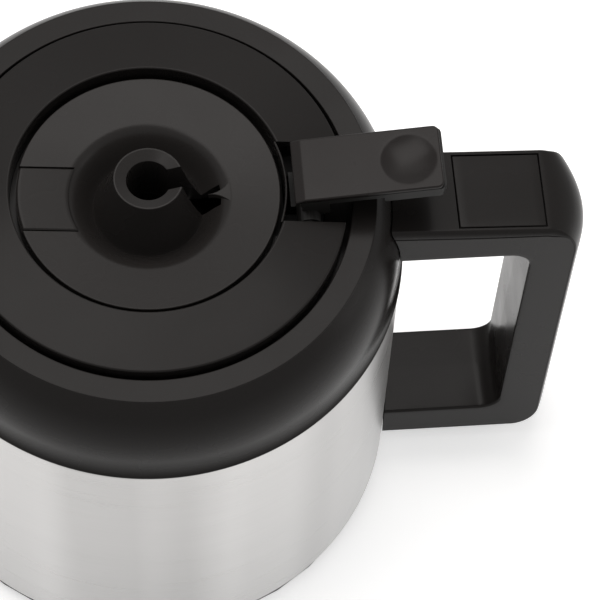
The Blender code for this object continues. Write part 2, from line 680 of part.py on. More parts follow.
def make_lid_ring():
    ring = turned("lid_ring", lid_ring_section(), WIDE_SEGMENTS)
    cheek = POCKET_HALF + POCKET_WALL
    cheek_x = math.sqrt((LID_R - CHEEK_INSET) ** 2 - cheek ** 2)
    cheek_top = lid_cone_z(math.hypot(cheek_x, cheek)) - EDGE_BREAK
    block = box("pocket_block", (LID_EYE_R + LID_WALL / 2, -cheek, LID_FLOOR_Z), (cheek_x, cheek, cheek_top))
    pocket = box("pocket_space", (LID_EYE_R - LID_WALL / 2, -POCKET_HALF, LEDGE_Z),
                 (LID_R + OVERSHOOT, POCKET_HALF, RIM_Z + OVERSHOOT))
    slot_half = LEG_HALF + LEG_GAP
    slot_start = HINGE_X - LEG_SETBACK - LEG_THICK - LEG_SWING
    slot = box("leg_slot", (slot_start, -slot_half, LID_FLOOR_Z - OVERSHOOT),
               (HINGE_X + LEG_GAP, slot_half, LEDGE_Z + OVERSHOOT))
    pin_end = cheek - PIN_STOP
    bore = rod("pin_bore", PIN_R + PIN_PLAY, (HINGE_X, -pin_end, HINGE_Z), (HINGE_X, pin_end, HINGE_Z))
    window = box("pour_window", (-LID_R - OVERSHOOT, -WINDOW_HALF, LID_FLOOR_Z - OVERSHOOT),
                 (-LID_EYE_R - LID_WALL - LEG_GAP, WINDOW_HALF, RIM_Z - WINDOW_HEAD))
    join(ring, block)
    cut(ring, pocket, slot, bore, window)
    dress(settle(ring), black_plastic("lid_plastic"))


def moat_bowl():
    """Outer side of the moat, from the dish down to its floor."""
    edge_r = MOAT_R + MOAT_ROUND
    floor_z = RIM_Z - MOAT_DEPTH
    return bezier((edge_r, dish_z(edge_r)), (MOAT_R - 0.67 * MOAT_ROUND, dish_z(MOAT_R) - 0.33 * MOAT_ROUND),
                  (MOAT_FLOOR_R + 0.35 * (MOAT_R - MOAT_FLOOR_R), floor_z), (MOAT_FLOOR_R, floor_z), 4)


def disc_profile():
    """Section of the disc: rim, dish, moat, dome, drip hole, and the underside."""
    rim_z = dish_z(DISC_R)
    floor_z = RIM_Z - MOAT_DEPTH
    dome_z = RIM_Z + DOME_RISE
    bowl = moat_bowl()
    foot = MOAT_FLOOR_R - DOME_R
    flank = bezier((MOAT_FLOOR_R, floor_z), (MOAT_FLOOR_R - 0.46 * foot, floor_z),
                   (DOME_R + 0.31 * foot, RIM_Z + 0.23 * DOME_RISE), (DOME_R, dome_z), 6)
    wall_r = DISC_R - DISC_WALL
    line = [(DISC_R - EDGE_BREAK, rim_z)] + bowl + flank[1:]
    line += [(DOME_R - DOME_LAND, dome_z), (DRIP_R, dome_z - DRIP_SINK), (DRIP_R, DISC_UNDER_Z),
             (MOAT_FLOOR_R, DISC_UNDER_Z)]
    line += shifted(list(reversed(bowl)), DISC_WALL)[1:]
    line += [(wall_r, dish_z(wall_r) - DISC_WALL), (wall_r, LEDGE_Z + CLEAR), (DISC_R, LEDGE_Z + CLEAR),
             (DISC_R, rim_z - EDGE_BREAK)]
    return list(reversed(line))


def strip_on_dish(name, grow, low, high):
    """A flat strip with round ends, lying along the dish on the spout side."""
    half = INLAY_HALF + grow
    ends = []
    for radius, turn in ((INLAY_END_R - grow, 1), (DISC_R - CLEAR + grow, -1)):
        spread = math.degrees(math.asin(half / radius))
        ends += arc((0, 0), radius, 180 + turn * spread, 180 - turn * spread, 6)
    strip = flat_outline(name, ends, (high - low) / 2)
    slope = Matrix.Rotation(math.atan(DISH_FALL), 4, "Y")
    at = Matrix.Translation((0, 0, dish_z(0)))
    return move_mesh(strip, at @ slope @ Matrix.Translation((0, 0, (high + low) / 2)))


def make_lid_disc():
    disc = turned("lid_disc", disc_profile(), FINE_SEGMENTS)
    root_x = math.sqrt((MOAT_R + MOAT_ROUND) ** 2 - TONGUE_HALF ** 2)
    waist = ((TONGUE_TIP_R + root_x) / 2, TONGUE_HALF / 2 - TONGUE_WAIST)
    tongue = flat_outline("tongue", [(TONGUE_TIP_R, 0.0), (waist[0], -waist[1]), (root_x, -TONGUE_HALF),
                                     (root_x, TONGUE_HALF), waist], DISC_WALL / 2)
    move_mesh(tongue, Matrix.Translation((0, 0, dish_z(MOAT_R) - DISC_WALL / 2 - TRIM)))
    slot = box("key_slot", (0.0, -SLOT_HALF, DISC_UNDER_Z - OVERSHOOT),
               (SLOT_END_R, SLOT_HALF, RIM_Z + DOME_RISE + OVERSHOOT))
    seat = strip_on_dish("inlay_seat", INLAY_SEAM, INLAY_RISE - INLAY_THICK - CLEAR, OVERSHOOT)
    cut(disc, slot, seat)
    join(disc, tongue)
    dress(settle(disc), black_plastic("disc_plastic"))

    inlay = strip_on_dish("disc_inlay", 0.0, INLAY_RISE - INLAY_THICK, INLAY_RISE)
    edge = inlay.modifiers.new("edges", "BEVEL")
    edge.width = EDGE_BREAK
    edge.segments = 1
    edge.limit_method = "ANGLE"
    edge.angle_limit = math.radians(40)
    dress(settle(inlay), black_plastic("inlay_plastic", 0.32))


def make_lid_cup():
    top = LID_FLOOR_Z - CLEAR
    low = RIM_Z - CUP_DEPTH
    groove_r = CUP_R - GASKET_DEPTH
    groove_top = MOUTH_Z - GASKET_DROP
    groove_low = groove_top - GASKET_SPAN - 2 * CLEAR
    line = [(CUP_R - CUP_WALL, top), (CUP_R, top), (CUP_R, groove_top), (groove_r, groove_top),
            (groove_r, groove_low), (CUP_R, groove_low), (CUP_R, low + CUP_CHAMFER),
            (CUP_R - CUP_CHAMFER, low), (SEAT_R, low), (SEAT_R, CUP_FLOOR_Z), (CUP_R - CUP_WALL, CUP_FLOOR_Z)]
    cup = turned("lid_cup", line, WIDE_SEGMENTS)
    tube = rod("drip_tube", TUBE_R, (0, 0, low - TUBE_DROP), (0, 0, DISC_UNDER_Z - CLEAR), FINE_SEGMENTS)
    reach = SEAT_R + CUP_CHAMFER / 2
    spoke_low, spoke_top = low + TRIM, CUP_FLOOR_Z - TRIM
    across = box("spoke_across", (-reach, -SPOKE_HALF, spoke_low), (reach, SPOKE_HALF, spoke_top))
    along = box("spoke_along", (-SPOKE_HALF, -reach, spoke_low), (SPOKE_HALF, reach, spoke_top))
    bore = rod("drip_bore", DRIP_R, (0, 0, low - OVERSHOOT), (0, 0, RIM_Z), FINE_SEGMENTS)
    window = box("cup_window", (-CUP_R - OVERSHOOT, -WINDOW_HALF, MOUTH_Z - WINDOW_DROP),
                 (-CUP_R + OVERSHOOT, WINDOW_HALF, RIM_Z))
    join(cup, tube, across, along)
    cut(cup, bore, window)
    dress(settle(cup), black_plastic("cup_plastic", 0.45))
    inner = groove_r + CLEAR
    outer = NECK_BORE_R - GASKET_FIT
    high = groove_top - CLEAR
    bottom = high - GASKET_SPAN
    line = [(inner, high), (outer - GASKET_ROUND, high), (outer, high - GASKET_ROUND),
            (outer, bottom + GASKET_ROUND), (outer - GASKET_ROUND, bottom), (inner, bottom)]
    gasket = turned("lid_gasket", line, WIDE_SEGMENTS)
    dress(gasket, silicone("lid_silicone"))


# ---------------------------------------------------------------- pour valve
def make_valve():
    plate = VALVE_PLATE
    flange = FLANGE_Z - VALVE_Z
    line = [(SLEEVE_BORE_R, flange + VALVE_FLANGE), (VALVE_FLANGE_R, flange + VALVE_FLANGE),
            (VALVE_FLANGE_R, flange), (SLEEVE_R, flange), (SLEEVE_R, plate), (VALVE_R - EDGE_BREAK, plate),
            (VALVE_R, plate - EDGE_BREAK), (VALVE_R, 0.0), (SLEEVE_BORE_R, 0.0)]
    valve = turned("pour_valve", line, FINE_SEGMENTS, location=(0, 0, VALVE_Z))
    dress(valve, finish("valve_plastic", (0.055, 0.052, 0.05), 0.5))
    outer = VALVE_R - EDGE_BREAK
    low, high = -CLEAR - SEAL_THICK, -CLEAR
    line = [(outer - SEAL_WIDTH, high), (outer, high), (outer, low), (outer - SEAL_WIDTH, low)]
    seal = turned("valve_seal", line, FINE_SEGMENTS, location=(0, 0, VALVE_Z))
    dress(seal, silicone("valve_silicone"))


def make_spring():
    low = FLANGE_Z + VALVE_FLANGE + CLEAR + SPRING_WIRE_R
    high = DISC_UNDER_Z - CLEAR - SPRING_WIRE_R
    per_turn = 10
    count = SPRING_TURNS * per_turn
    curve = bpy.data.curves.new("valve_spring", "CURVE")
    curve.dimensions = "3D"
    curve.bevel_depth = SPRING_WIRE_R
    curve.bevel_resolution = 1
    curve.use_fill_caps = True
    line = curve.splines.new("POLY")
    line.points.add(count)
    for i, spot in enumerate(line.points):
        angle = 2 * math.pi * i / per_turn
        rise = (high - low) * i / count
        spot.co = (SPRING_R * math.cos(angle), SPRING_R * math.sin(angle), low + rise, 1.0)
    spring = object_from("valve_spring", curve)
    spring.data.materials.append(steel("spring_steel", 0.25))


# ---------------------------------------------------------------- thumb lever
def on_lever(thing):
    """Tilt a mesh drawn flat from the lever's inner end, and place it relative to the hinge."""
    place = Vector((LEVER_INNER_X, 0.0, RIM_Z + LEVER_RISE)) - HINGE
    tilt = Matrix.Rotation(-LEVER_TILT, 4, "Y")
    return move_mesh(thing, Matrix.Translation(place) @ tilt)


def lever_plan(start=0.0, extra=0.0, inset=0.0):
    """Plan of the lever's plate, with round outer corners."""
    r = LEVER_CORNER
    end, y = LEVER_LENGTH + extra, LEVER_HALF - inset
    corners = arc((end - r, -y + r), r, -90, 0, 3) + arc((end - r, y - r), r, 0, 90, 3)
    return [(start, -y)] + corners + [(start, y)]


def thumb_ball():
    """The lower part of a ball that hollows the thumb dimple."""
    ball_r = (THUMB_R ** 2 + THUMB_DEPTH ** 2) / (2 * THUMB_DEPTH)
    mesh = bpy.data.meshes.new("thumb_ball")
    work = bmesh.new()
    bmesh.ops.create_uvsphere(work, u_segments=20, v_segments=48, radius=ball_r)
    bmesh.ops.translate(work, vec=(THUMB_AT, 0, ball_r - THUMB_DEPTH), verts=work.verts)
    high = [v for v in work.verts if v.co.z > LEVER_CAP * 2]
    bmesh.ops.delete(work, geom=high, context="VERTS")
    bmesh.ops.holes_fill(work, edges=[e for e in work.edges if e.is_boundary], sides=0)
    bmesh.ops.recalc_face_normals(work, faces=work.faces)
    work.to_mesh(mesh)
    work.free()
    return object_from("thumb_ball", mesh)


def make_lever_cap():
    cap = flat_outline("lever_cap", lever_plan(), LEVER_CAP / 2)
    move_mesh(cap, Matrix.Translation((0, 0, -LEVER_CAP / 2)))
    over = 0.5 * LEVER_CHAMFER
    slope_end = -LEVER_SLOPE * (1 + over / LEVER_CHAMFER)
    wedge = flat_outline("cap_chamfer", [(-over, slope_end), (LEVER_CHAMFER, 0.0), (LEVER_CHAMFER, over),
                                         (-over, over)], LEVER_HALF + over, upright=True)
    boss = rod("thumb_boss", THUMB_BOSS_R, (THUMB_AT, 0, -THUMB_BOSS_DEPTH), (THUMB_AT, 0, -LEVER_CAP / 2))
    join(cap, boss)
    cut(cap, thumb_ball(), wedge)
    on_lever(settle(cap))
    cap.location = HINGE
    dress(cap, black_plastic("lever_plastic", 0.33))


def make_lever_arm():
    deck = -LEVER_CAP - CLEAR
    plate_mid = deck - LEVER_PLATE / 2
    arm = flat_outline("lever_arm", lever_plan(EDGE_BREAK, LEVER_PEEK), LEVER_PLATE / 2)
    move_mesh(arm, Matrix.Translation((0, 0, plate_mid)))
    pad_half = (LEVER_PAD - LEVER_PLATE / 2) / 2
    pad_plan = lever_plan(LEVER_PAD_START, LEVER_PEEK - EDGE_BREAK, EDGE_BREAK)
    pad = flat_outline("lever_pad", pad_plan, pad_half)
    move_mesh(pad, Matrix.Translation((0, 0, deck - LEVER_PAD + pad_half)))
    hole = rod("boss_space", THUMB_BOSS_R + CLEAR, (THUMB_AT, 0, -THUMB_BOSS_DEPTH - CLEAR),
               (THUMB_AT, 0, OVERSHOOT))
    web = box("lever_web", (WEB_START, -WEB_HALF, -LEVER_RISE + HINGE_RISE),
              (WEB_LENGTH, WEB_HALF, plate_mid))
    for piece in (arm, pad, hole, web):
        on_lever(piece)
    hub_half = POCKET_HALF - HUB_GAP
    hub = rod("lever_hub", HUB_R, (0, -hub_half, 0), (0, hub_half, 0))
    fork_top = FLANGE_Z - CLEAR - HINGE_Z
    fork_low = fork_top - FORK_THICK
    leg_back = -LEG_SETBACK - LEG_THICK
    leg = box("lever_leg", (leg_back, -LEG_HALF, fork_low), (-LEG_SETBACK, LEG_HALF, -LEG_DROP))
    yoke_start = leg_back - YOKE_REACH
    yoke = box("fork_yoke", (yoke_start, -TINE_OUTER, fork_low + TRIM / 2),
               (leg_back + 2 * TRIM, TINE_OUTER, fork_top))
    tip = TINE_TIP_X - HINGE_X
    tine_end = yoke_start + 2 * TRIM
    tines = [box("fork_tine", (tip, min(a, b), fork_low + TRIM), (tine_end, max(a, b), fork_top - TRIM))
             for a, b in ((TINE_INNER, TINE_OUTER - TRIM), (-TINE_INNER, TRIM - TINE_OUTER))]
    bore = rod("hub_bore", PIN_R + PIN_PLAY, (0, -POCKET_HALF, 0), (0, POCKET_HALF, 0))
    join(arm, pad, web, hub, leg, yoke, *tines)
    cut(arm, hole, bore)
    settle(arm)
    arm.location = HINGE
    dress(arm, black_plastic("carrier_plastic", 0.42))


def make_lever_pin():
    end = POCKET_HALF + POCKET_WALL - PIN_STOP - CLEAR
    pin = rod("lever_pin", PIN_R, (0, -end, 0), (0, end, 0), location=HINGE)
    dress(pin, steel("pin_steel", 0.2))


# ---------------------------------------------------------------- handle
def handle_outline():
    """Side view of the C-shaped handle, clockwise from its upper root."""
    root = RIM_R - HANDLE_ROOT
    fall = math.tan(HANDLE_TOP_FALL)
    top_root = HANDLE_TOP_Z + (PANEL_X - root) * fall
    corner_x = GRIP_X - CORNER_TOP
    corner_z = HANDLE_TOP_Z - (corner_x - PANEL_X) * fall - CORNER_TOP
    inner_x = GRIP_X - GRIP_THICK
    under = RIM_Z - BAR_UNDER_DROP
    r = WINDOW_CORNER
    out = [(root, top_root)] + arc((corner_x, corner_z), CORNER_TOP, 90, 0, 7)
    out += arc((GRIP_X - CORNER_LOW, FOOT_BAR_LOW + CORNER_LOW), CORNER_LOW, 0, -90, 6)
    out += [(root, FOOT_BAR_LOW), (root, FOOT_BAR_TOP)]
    out += arc((inner_x - r, FOOT_BAR_TOP + r), r, -90, 0, 4) + arc((inner_x - r, under - r), r, 0, 90, 4)
    out += [(root, under)]
    return out


def crown(thing, slices=6):
    """Draw the grip's outer side in towards its edges, so its face bulges in the middle."""
    start = GRIP_X - CORNER_TOP
    work = bmesh.new()
    work.from_mesh(thing.data)
    for i in range(1, slices):
        level = -HANDLE_HALF + HANDLE_WIDTH * i / slices
        outer = [f for f in work.faces if min(v.co.x for v in f.verts) > start - EDGE_BREAK]
        touched = {part for f in outer for part in (*f.verts, *f.edges)}
        bmesh.ops.bisect_plane(work, geom=outer + list(touched), dist=0.000001,
                               plane_co=(0, level, 0), plane_no=(0, 1, 0))
    for vert in work.verts:
        if vert.co.x > start:
            share = (vert.co.x - start) / CORNER_TOP
            vert.co.x -= HANDLE_CROWN * share * (vert.co.y / HANDLE_HALF) ** 2
    work.to_mesh(thing.data)
    work.free()
    return thing


def on_handle_top(thing):
    """Place a mesh drawn flat at the panel's start onto the sloping top face."""
    tilt = Matrix.Rotation(HANDLE_TOP_FALL, 4, "Y")
    return move_mesh(thing, Matrix.Translation((PANEL_X, 0, HANDLE_TOP_Z)) @ tilt)


def make_handle():
    body = flat_outline("handle_body", handle_outline(), HANDLE_HALF, upright=True)
    crown(body)
    edge = body.modifiers.new("soft_edges", "BEVEL")
    edge.width = HANDLE_EDGE
    edge.segments = 2
    edge.limit_method = "ANGLE"
    edge.angle_limit = math.radians(50)
    settle(body)
    vessel = turned("vessel_space", vessel_outline(CLEAR), WIDE_SEGMENTS, closed=False)
    recess = box("panel_recess", (0, -PANEL_HALF, -PANEL_THICK - CLEAR),
                 (PANEL_LENGTH, PANEL_HALF, OVERSHOOT))
    floor = HANDLE_TOP_DROP - BAR_UNDER_DROP + HANDLE_FLOOR
    pit_half = PANEL_HALF - PANEL_LEDGE
    pit = box("screw_pit", (PANEL_LEDGE, -pit_half, floor), (PANEL_LENGTH - PANEL_LEDGE, pit_half, OVERSHOOT))
    on_handle_top(recess)
    on_handle_top(pit)
    bore_end = PANEL_X + PANEL_LEDGE + HANDLE_FLOOR
    top_bore = rod("top_bore", SCREW_BORE_R, (RIM_R - OVERSHOOT, 0, SCREW_Z), (bore_end, 0, SCREW_Z))
    socket_x = FOOT_R + CLEAR
    plate_end = socket_x + BRACKET_PLATE
    plate_space = box("plate_space", (socket_x - OVERSHOOT, -BRACKET_HALF - CLEAR, BRACKET_LOW - CLEAR),
                      (plate_end + CLEAR, BRACKET_HALF + CLEAR, BRACKET_TOP + CLEAR))
    tongue_end = plate_end + BRACKET_TONGUE
    tongue_low, tongue_top = FOOT_BAR_MID - TONGUE_PLATE / 2, FOOT_BAR_MID + TONGUE_PLATE / 2
    tongue_half = BRACKET_TONGUE_HALF + CLEAR
    tongue_space = box("tongue_space", (socket_x - OVERSHOOT, -tongue_half, tongue_low - CLEAR),
                       (tongue_end + CLEAR, tongue_half, tongue_top + CLEAR))
    foot_x = tongue_end - FOOT_SCREW_INSET
    foot_bore = rod("foot_bore", SCREW_BORE_R, (foot_x, 0, FOOT_BAR_LOW - OVERSHOOT),
                    (foot_x, 0, FOOT_SCREW_TOP + 2 * CLEAR))
    foot_sink = rod("foot_sink", SCREW_HEAD_R + CLEAR, (foot_x, 0, FOOT_BAR_LOW - OVERSHOOT),
                    (foot_x, 0, FOOT_BAR_LOW + SCREW_HEAD + 2 * CLEAR))
    cut(body, vessel, recess, pit, top_bore, plate_space, tongue_space, foot_bore, foot_sink)
    dress(settle(body), black_plastic("handle_plastic"))

    panel = box("handle_panel", (PANEL_SEAM, -PANEL_HALF + PANEL_SEAM, -PANEL_THICK),
                (PANEL_LENGTH - PANEL_SEAM, PANEL_HALF - PANEL_SEAM, 0.0))
    on_handle_top(panel)
    dress(panel, black_plastic("panel_plastic", 0.36))

    head_x = PANEL_X + PANEL_LEDGE + HEAD_GAP
    start = WELL_R + COLLAR_WALL + BOSS_GAP + BOSS_END + 2 * CLEAR
    screw = rod("handle_top_screw", SCREW_R, (start, 0, SCREW_Z), (head_x + SCREW_HEAD / 2, 0, SCREW_Z))
    head = rod("top_screw_head", SCREW_HEAD_R, (head_x, 0, SCREW_Z), (head_x + SCREW_HEAD, 0, SCREW_Z))
    join(screw, head)
    dress(settle(screw), steel("screw_steel", 0.3))

    low = FOOT_BAR_LOW + CLEAR
    screw = rod("handle_foot_screw", SCREW_R, (foot_x, 0, low + SCREW_HEAD / 2), (foot_x, 0, FOOT_SCREW_TOP))
    head = rod("foot_screw_head", SCREW_HEAD_R, (foot_x, 0, low), (foot_x, 0, low + SCREW_HEAD))
    join(screw, head)
    dress(settle(screw), steel("foot_screw_steel", 0.3))

    bracket = box("handle_bracket", (socket_x, -BRACKET_HALF, BRACKET_LOW),
                  (plate_end, BRACKET_HALF, BRACKET_TOP))
    tongue = box("bracket_tongue", (socket_x + BRACKET_PLATE / 2, -BRACKET_TONGUE_HALF, tongue_low),
                 (tongue_end, BRACKET_TONGUE_HALF, tongue_top))
    hole = rod("bracket_hole", SCREW_BORE_R, (foot_x, 0, FOOT_BAR_LOW), (foot_x, 0, FOOT_BAR_TOP))
    join(bracket, tongue)
    cut(bracket, hole)
    dress(settle(bracket), steel("bracket_steel", 0.35))


make_outer_shell()
make_inner_liner()
make_shell_floor()
make_base()
make_collar()
make_neck_pieces()
make_lid_ring()
make_lid_disc()
make_lid_cup()
make_valve()
make_spring()
make_lever_cap()
make_lever_arm()
make_lever_pin()
make_handle()
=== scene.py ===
"""Finishes for an insulated carafe with a pour-through lid, in metres and +Z up.

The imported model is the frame: the visible mouldings are drawn again as fine surfaces, piece by piece,
in the order in which the carafe is put together.
"""
import math

import bpy
import numpy as np
from mathutils import Matrix, Vector


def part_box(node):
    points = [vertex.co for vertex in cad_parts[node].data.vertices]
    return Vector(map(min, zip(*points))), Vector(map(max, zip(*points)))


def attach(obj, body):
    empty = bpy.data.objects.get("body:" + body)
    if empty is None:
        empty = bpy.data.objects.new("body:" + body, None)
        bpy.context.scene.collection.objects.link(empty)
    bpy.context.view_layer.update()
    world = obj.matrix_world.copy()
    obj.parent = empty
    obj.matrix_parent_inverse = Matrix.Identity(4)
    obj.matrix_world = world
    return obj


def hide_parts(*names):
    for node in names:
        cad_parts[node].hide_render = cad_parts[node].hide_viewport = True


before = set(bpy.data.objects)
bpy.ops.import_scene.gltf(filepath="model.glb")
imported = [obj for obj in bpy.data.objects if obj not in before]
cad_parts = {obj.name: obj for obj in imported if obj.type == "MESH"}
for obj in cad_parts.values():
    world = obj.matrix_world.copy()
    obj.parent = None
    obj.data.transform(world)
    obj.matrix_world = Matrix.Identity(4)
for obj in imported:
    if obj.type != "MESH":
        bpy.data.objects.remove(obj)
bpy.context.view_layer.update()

MM = 0.001


# ------------------------ steel vessel
# Outer wall of the flask: 0.8 mm stainless sheet, spun to shape, with a rolled lip under the collar and a
# rolled foot.  It is brushed round and round on a lathe, so its grain runs level.
FOOT_Z, COLLAR_LOW_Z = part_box("outer_shell")[0][2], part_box("collar")[0][2]
LIP_Z = COLLAR_LOW_Z - 0.3 * MM
COLLAR_RISE = 27.5 * MM
RIM_Z = LIP_Z + COLLAR_RISE
FOOT_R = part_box("outer_shell")[1][0]
LIP_R = FOOT_R - 1.2 * MM
NECK_R = 47.0 * MM
SHEET = 0.8 * MM
LIP_ROLL = 1.3 * MM
FOOT_ROLL = 2.5 * MM
NECK_TOP_Z, NECK_LOW_Z = RIM_Z - 10.2 * MM, RIM_Z - 15.0 * MM
LIP_LEDGE = 1.4 * MM
FOOT_TURN = 6.1 * MM
LATHE_STEPS = 288
CORNER_STEPS = 7


def rounded(line, radius):
    """A closed outline whose corners are arcs: each touches both sides at radius / tan(half the corner).

    A corner of radius 0 stays one point.
    """
    p = np.asarray(line, float)
    radius = np.broadcast_to(radius, len(p))
    back, ahead = np.roll(p, 1, 0) - p, np.roll(p, -1, 0) - p
    room = np.minimum(np.linalg.norm(back, axis=1), np.linalg.norm(ahead, axis=1))
    back /= np.linalg.norm(back, axis=1, keepdims=True)
    ahead /= np.linalg.norm(ahead, axis=1, keepdims=True)
    half = np.arccos(np.clip((back * ahead).sum(1), -0.99999, 0.99999)) / 2
    reach = np.minimum(radius / np.tan(half), 0.48 * room)
    inward = back + ahead
    inward /= np.maximum(np.linalg.norm(inward, axis=1, keepdims=True), 1e-12)
    centre = p + inward * (reach / np.cos(half))[:, None]
    first, last = p + back * reach[:, None] - centre, p + ahead * reach[:, None] - centre
    turn = (math.pi - 2 * half)[:, None, None]
    t = np.linspace(0, 1, CORNER_STEPS + 1)[None, :, None]
    swept = (np.sin((1 - t) * turn) * first[:, None] + np.sin(t * turn) * last[:, None]) / np.sin(turn)
    kept = np.ones((len(p), CORNER_STEPS + 1), bool)
    kept[radius == 0, 1:] = False
    return (centre[:, None] + swept)[kept]


def spread(line, step, close):
    """A closed outline with points added along its sides: one every step, and one close to each end."""
    ring = np.vstack([line, line[:1]])
    s = np.concatenate([[0], np.cumsum(np.linalg.norm(np.diff(ring, axis=0), axis=1))])
    marks = np.concatenate([np.arange(0, s[-1], step), s + close, s - close])
    marks = marks[(np.abs(marks[:, None] - s).min(1) > close / 2) & (marks > 0) & (marks < s[-1])]
    at = np.unique(np.concatenate([s[:-1], marks]))
    return np.column_stack([np.interp(at, s, ring[:, 0]), np.interp(at, s, ring[:, 1])])


def inset(line, distance):
    """An open line moved to the right of its way: each point goes along the sum of its sides' normals."""
    p = np.asarray(line, float)
    side = np.diff(p, axis=0)
    side /= np.linalg.norm(side, axis=1, keepdims=True)
    normal = np.column_stack([side[:, 1], -side[:, 0]])
    before, after = np.vstack([normal[:1], normal]), np.vstack([normal, normal[-1:]])
    return p + distance * (before + after) / (1 + (before * after).sum(1))[:, None]


def closed_mesh(name, points, faces, material, crease=40.0):
    """A mesh object from points and faces; where its volume comes out negative, every face is turned."""
    a, b, c = (points[np.array([f[i] for f in faces])] for i in (0, 1, 2))
    d = points[np.array([f[-1] for f in faces])]
    volume = (a * np.cross(b, c)).sum() + (a * np.cross(c, d)).sum()
    if volume < 0:
        faces = [f[::-1] for f in faces]
    mesh = bpy.data.meshes.new(name)
    mesh.from_pydata(points.tolist(), [], [list(map(int, f)) for f in faces])
    mesh.materials.append(material)
    mesh.shade_smooth()
    mesh.set_sharp_from_angle(angle=math.radians(crease))
    made = bpy.data.objects.new(name, mesh)
    bpy.context.scene.collection.objects.link(made)
    return made


def band(count, length, wrap=True, loop=True):
    """Quads of a grid of count rings with length points each.

    Loop joins the last ring to the first, and wrap joins the last point of a ring to its first.
    """
    i = np.arange(count if loop else count - 1)[:, None]
    j = np.arange(length if wrap else length - 1)[None]
    ahead, beside = (i + 1) % count, (j + 1) % length
    quads = np.stack([i * length + j, i * length + beside, ahead * length + beside, ahead * length + j], -1)
    return quads.reshape(-1, 4).tolist()


def turned(section):
    """Points of a section turned about Z: x = r cos(angle), y = r sin(angle), z unchanged."""
    angle = np.arange(LATHE_STEPS) * 2 * math.pi / LATHE_STEPS
    r, z = section[:, 0], section[:, 1]
    x, y = np.outer(np.cos(angle), r), np.outer(np.sin(angle), r)
    return np.stack([x, y, np.tile(z, (LATHE_STEPS, 1))], -1).reshape(-1, 3)


def lathe(name, section, material):
    """A closed section turned once round Z."""
    return closed_mesh(name, turned(section), band(LATHE_STEPS, len(section)), material)


def linear(hex_colour):
    """Linear red, green, blue and alpha of an sRGB hex colour."""
    part = np.array([int(hex_colour[i:i + 2], 16) for i in (1, 3, 5)]) / 255.0
    part = np.where(part <= 0.04045, part / 12.92, ((part + 0.055) / 1.055) ** 2.4)
    return (*part.tolist(), 1.0)


def add(tree, kind, links=None, **settings):
    """A shader node: settings name its properties or inputs, and links give an input its source."""
    node = tree.nodes.new(kind)
    for name, value in settings.items():
        if hasattr(node, name):
            setattr(node, name, value)
        else:
            node.inputs[name.replace("_", " ")].default_value = value
    for name, source in (links or {}).items():
        tree.links.new(source, node.inputs[name])
    return node


def emptied(owner):
    """The node tree of a material or a world with its nodes removed."""
    owner.use_nodes = True
    owner.node_tree.nodes.clear()
    return owner.node_tree


def new_material(name):
    """A node material, its empty tree and its object coordinates."""
    made = bpy.data.materials.new(name)
    tree = emptied(made)
    return made, tree, add(tree, "ShaderNodeTexCoord").outputs["Object"]


def brushed_steel(name, colour, roughness, grain_mm, depth):
    """Stainless sheet brushed round the axis: scratches long round the body and fine in height.

    The real scratches are about 0.05 mm apart; they are drawn as coarse as grain_mm so that they show, and
    36 mm long.  Over them lie clouds of 110 by 11 mm, and upright bands 26 mm wide that darken the base
    colour by up to a fifth: painted reflection bands.
    """
    made, tree, place = new_material(name)
    stretch = add(tree, "ShaderNodeMapping", {"Vector": place}, Scale=(28.0, 28.0, 1000.0 / grain_mm))
    grain = add(tree, "ShaderNodeTexNoise", {"Vector": stretch.outputs[0]}, Scale=1.0, Detail=4.0,
                Roughness=0.6)
    wide = add(tree, "ShaderNodeMapping", {"Vector": place}, Scale=(9.0, 9.0, 90.0))
    cloud = add(tree, "ShaderNodeTexNoise", {"Vector": wide.outputs[0]}, Scale=1.0, Detail=2.0)
    mixed = add(tree, "ShaderNodeMix", {"A": grain.outputs["Fac"], "B": cloud.outputs["Fac"]}, Factor=0.35)
    # Painted reflection: upright bands 26 mm wide that darken the base colour by up to a fifth.
    upright = add(tree, "ShaderNodeMapping", {"Vector": place}, Scale=(38.0, 38.0, 1.5))
    bands = add(tree, "ShaderNodeTexNoise", {"Vector": upright.outputs[0]}, Scale=1.0, Detail=1.0)
    shade = add(tree, "ShaderNodeMapRange", {"Value": bands.outputs["Fac"]}, From_Min=0.38, From_Max=0.62,
                To_Min=0.79, To_Max=1.0)
    rough = add(tree, "ShaderNodeMapRange", {"Value": mixed.outputs[0]}, From_Min=0.3, From_Max=0.7,
                To_Min=roughness - 0.05, To_Max=roughness + 0.07)
    tone = add(tree, "ShaderNodeMapRange", {"Value": mixed.outputs[0]}, From_Min=0.3, From_Max=0.7,
               To_Min=0.94, To_Max=1.05)
    tone = add(tree, "ShaderNodeMath", {0: tone.outputs[0], 1: shade.outputs[0]}, operation="MULTIPLY")
    base = add(tree, "ShaderNodeVectorMath", {"Scale": tone.outputs[0]}, operation="SCALE")
    base.inputs[0].default_value = linear(colour)[:3]
    bump = add(tree, "ShaderNodeBump", {"Height": grain.outputs["Fac"]}, Strength=depth, Distance=0.00002)
    round_axis = add(tree, "ShaderNodeTangent", direction_type="RADIAL", axis="Z")
    shader = add(tree, "ShaderNodeBsdfPrincipled",
                 {"Base Color": base.outputs[0], "Roughness": rough.outputs[0], "Normal": bump.outputs[0],
                  "Tangent": round_axis.outputs[0]}, Metallic=1.0, Anisotropic=0.55)
    add(tree, "ShaderNodeOutputMaterial", {"Surface": shader.outputs[0]})
    return made


# Lathe-brushed 18/10 stainless steel: a satin that smears reflections up and down, with level hairlines and
# painted upright reflection bands.
wall_steel = brushed_steel("lathe_brushed_stainless_steel", "#c5c4c3", 0.30, 0.45, 0.25)

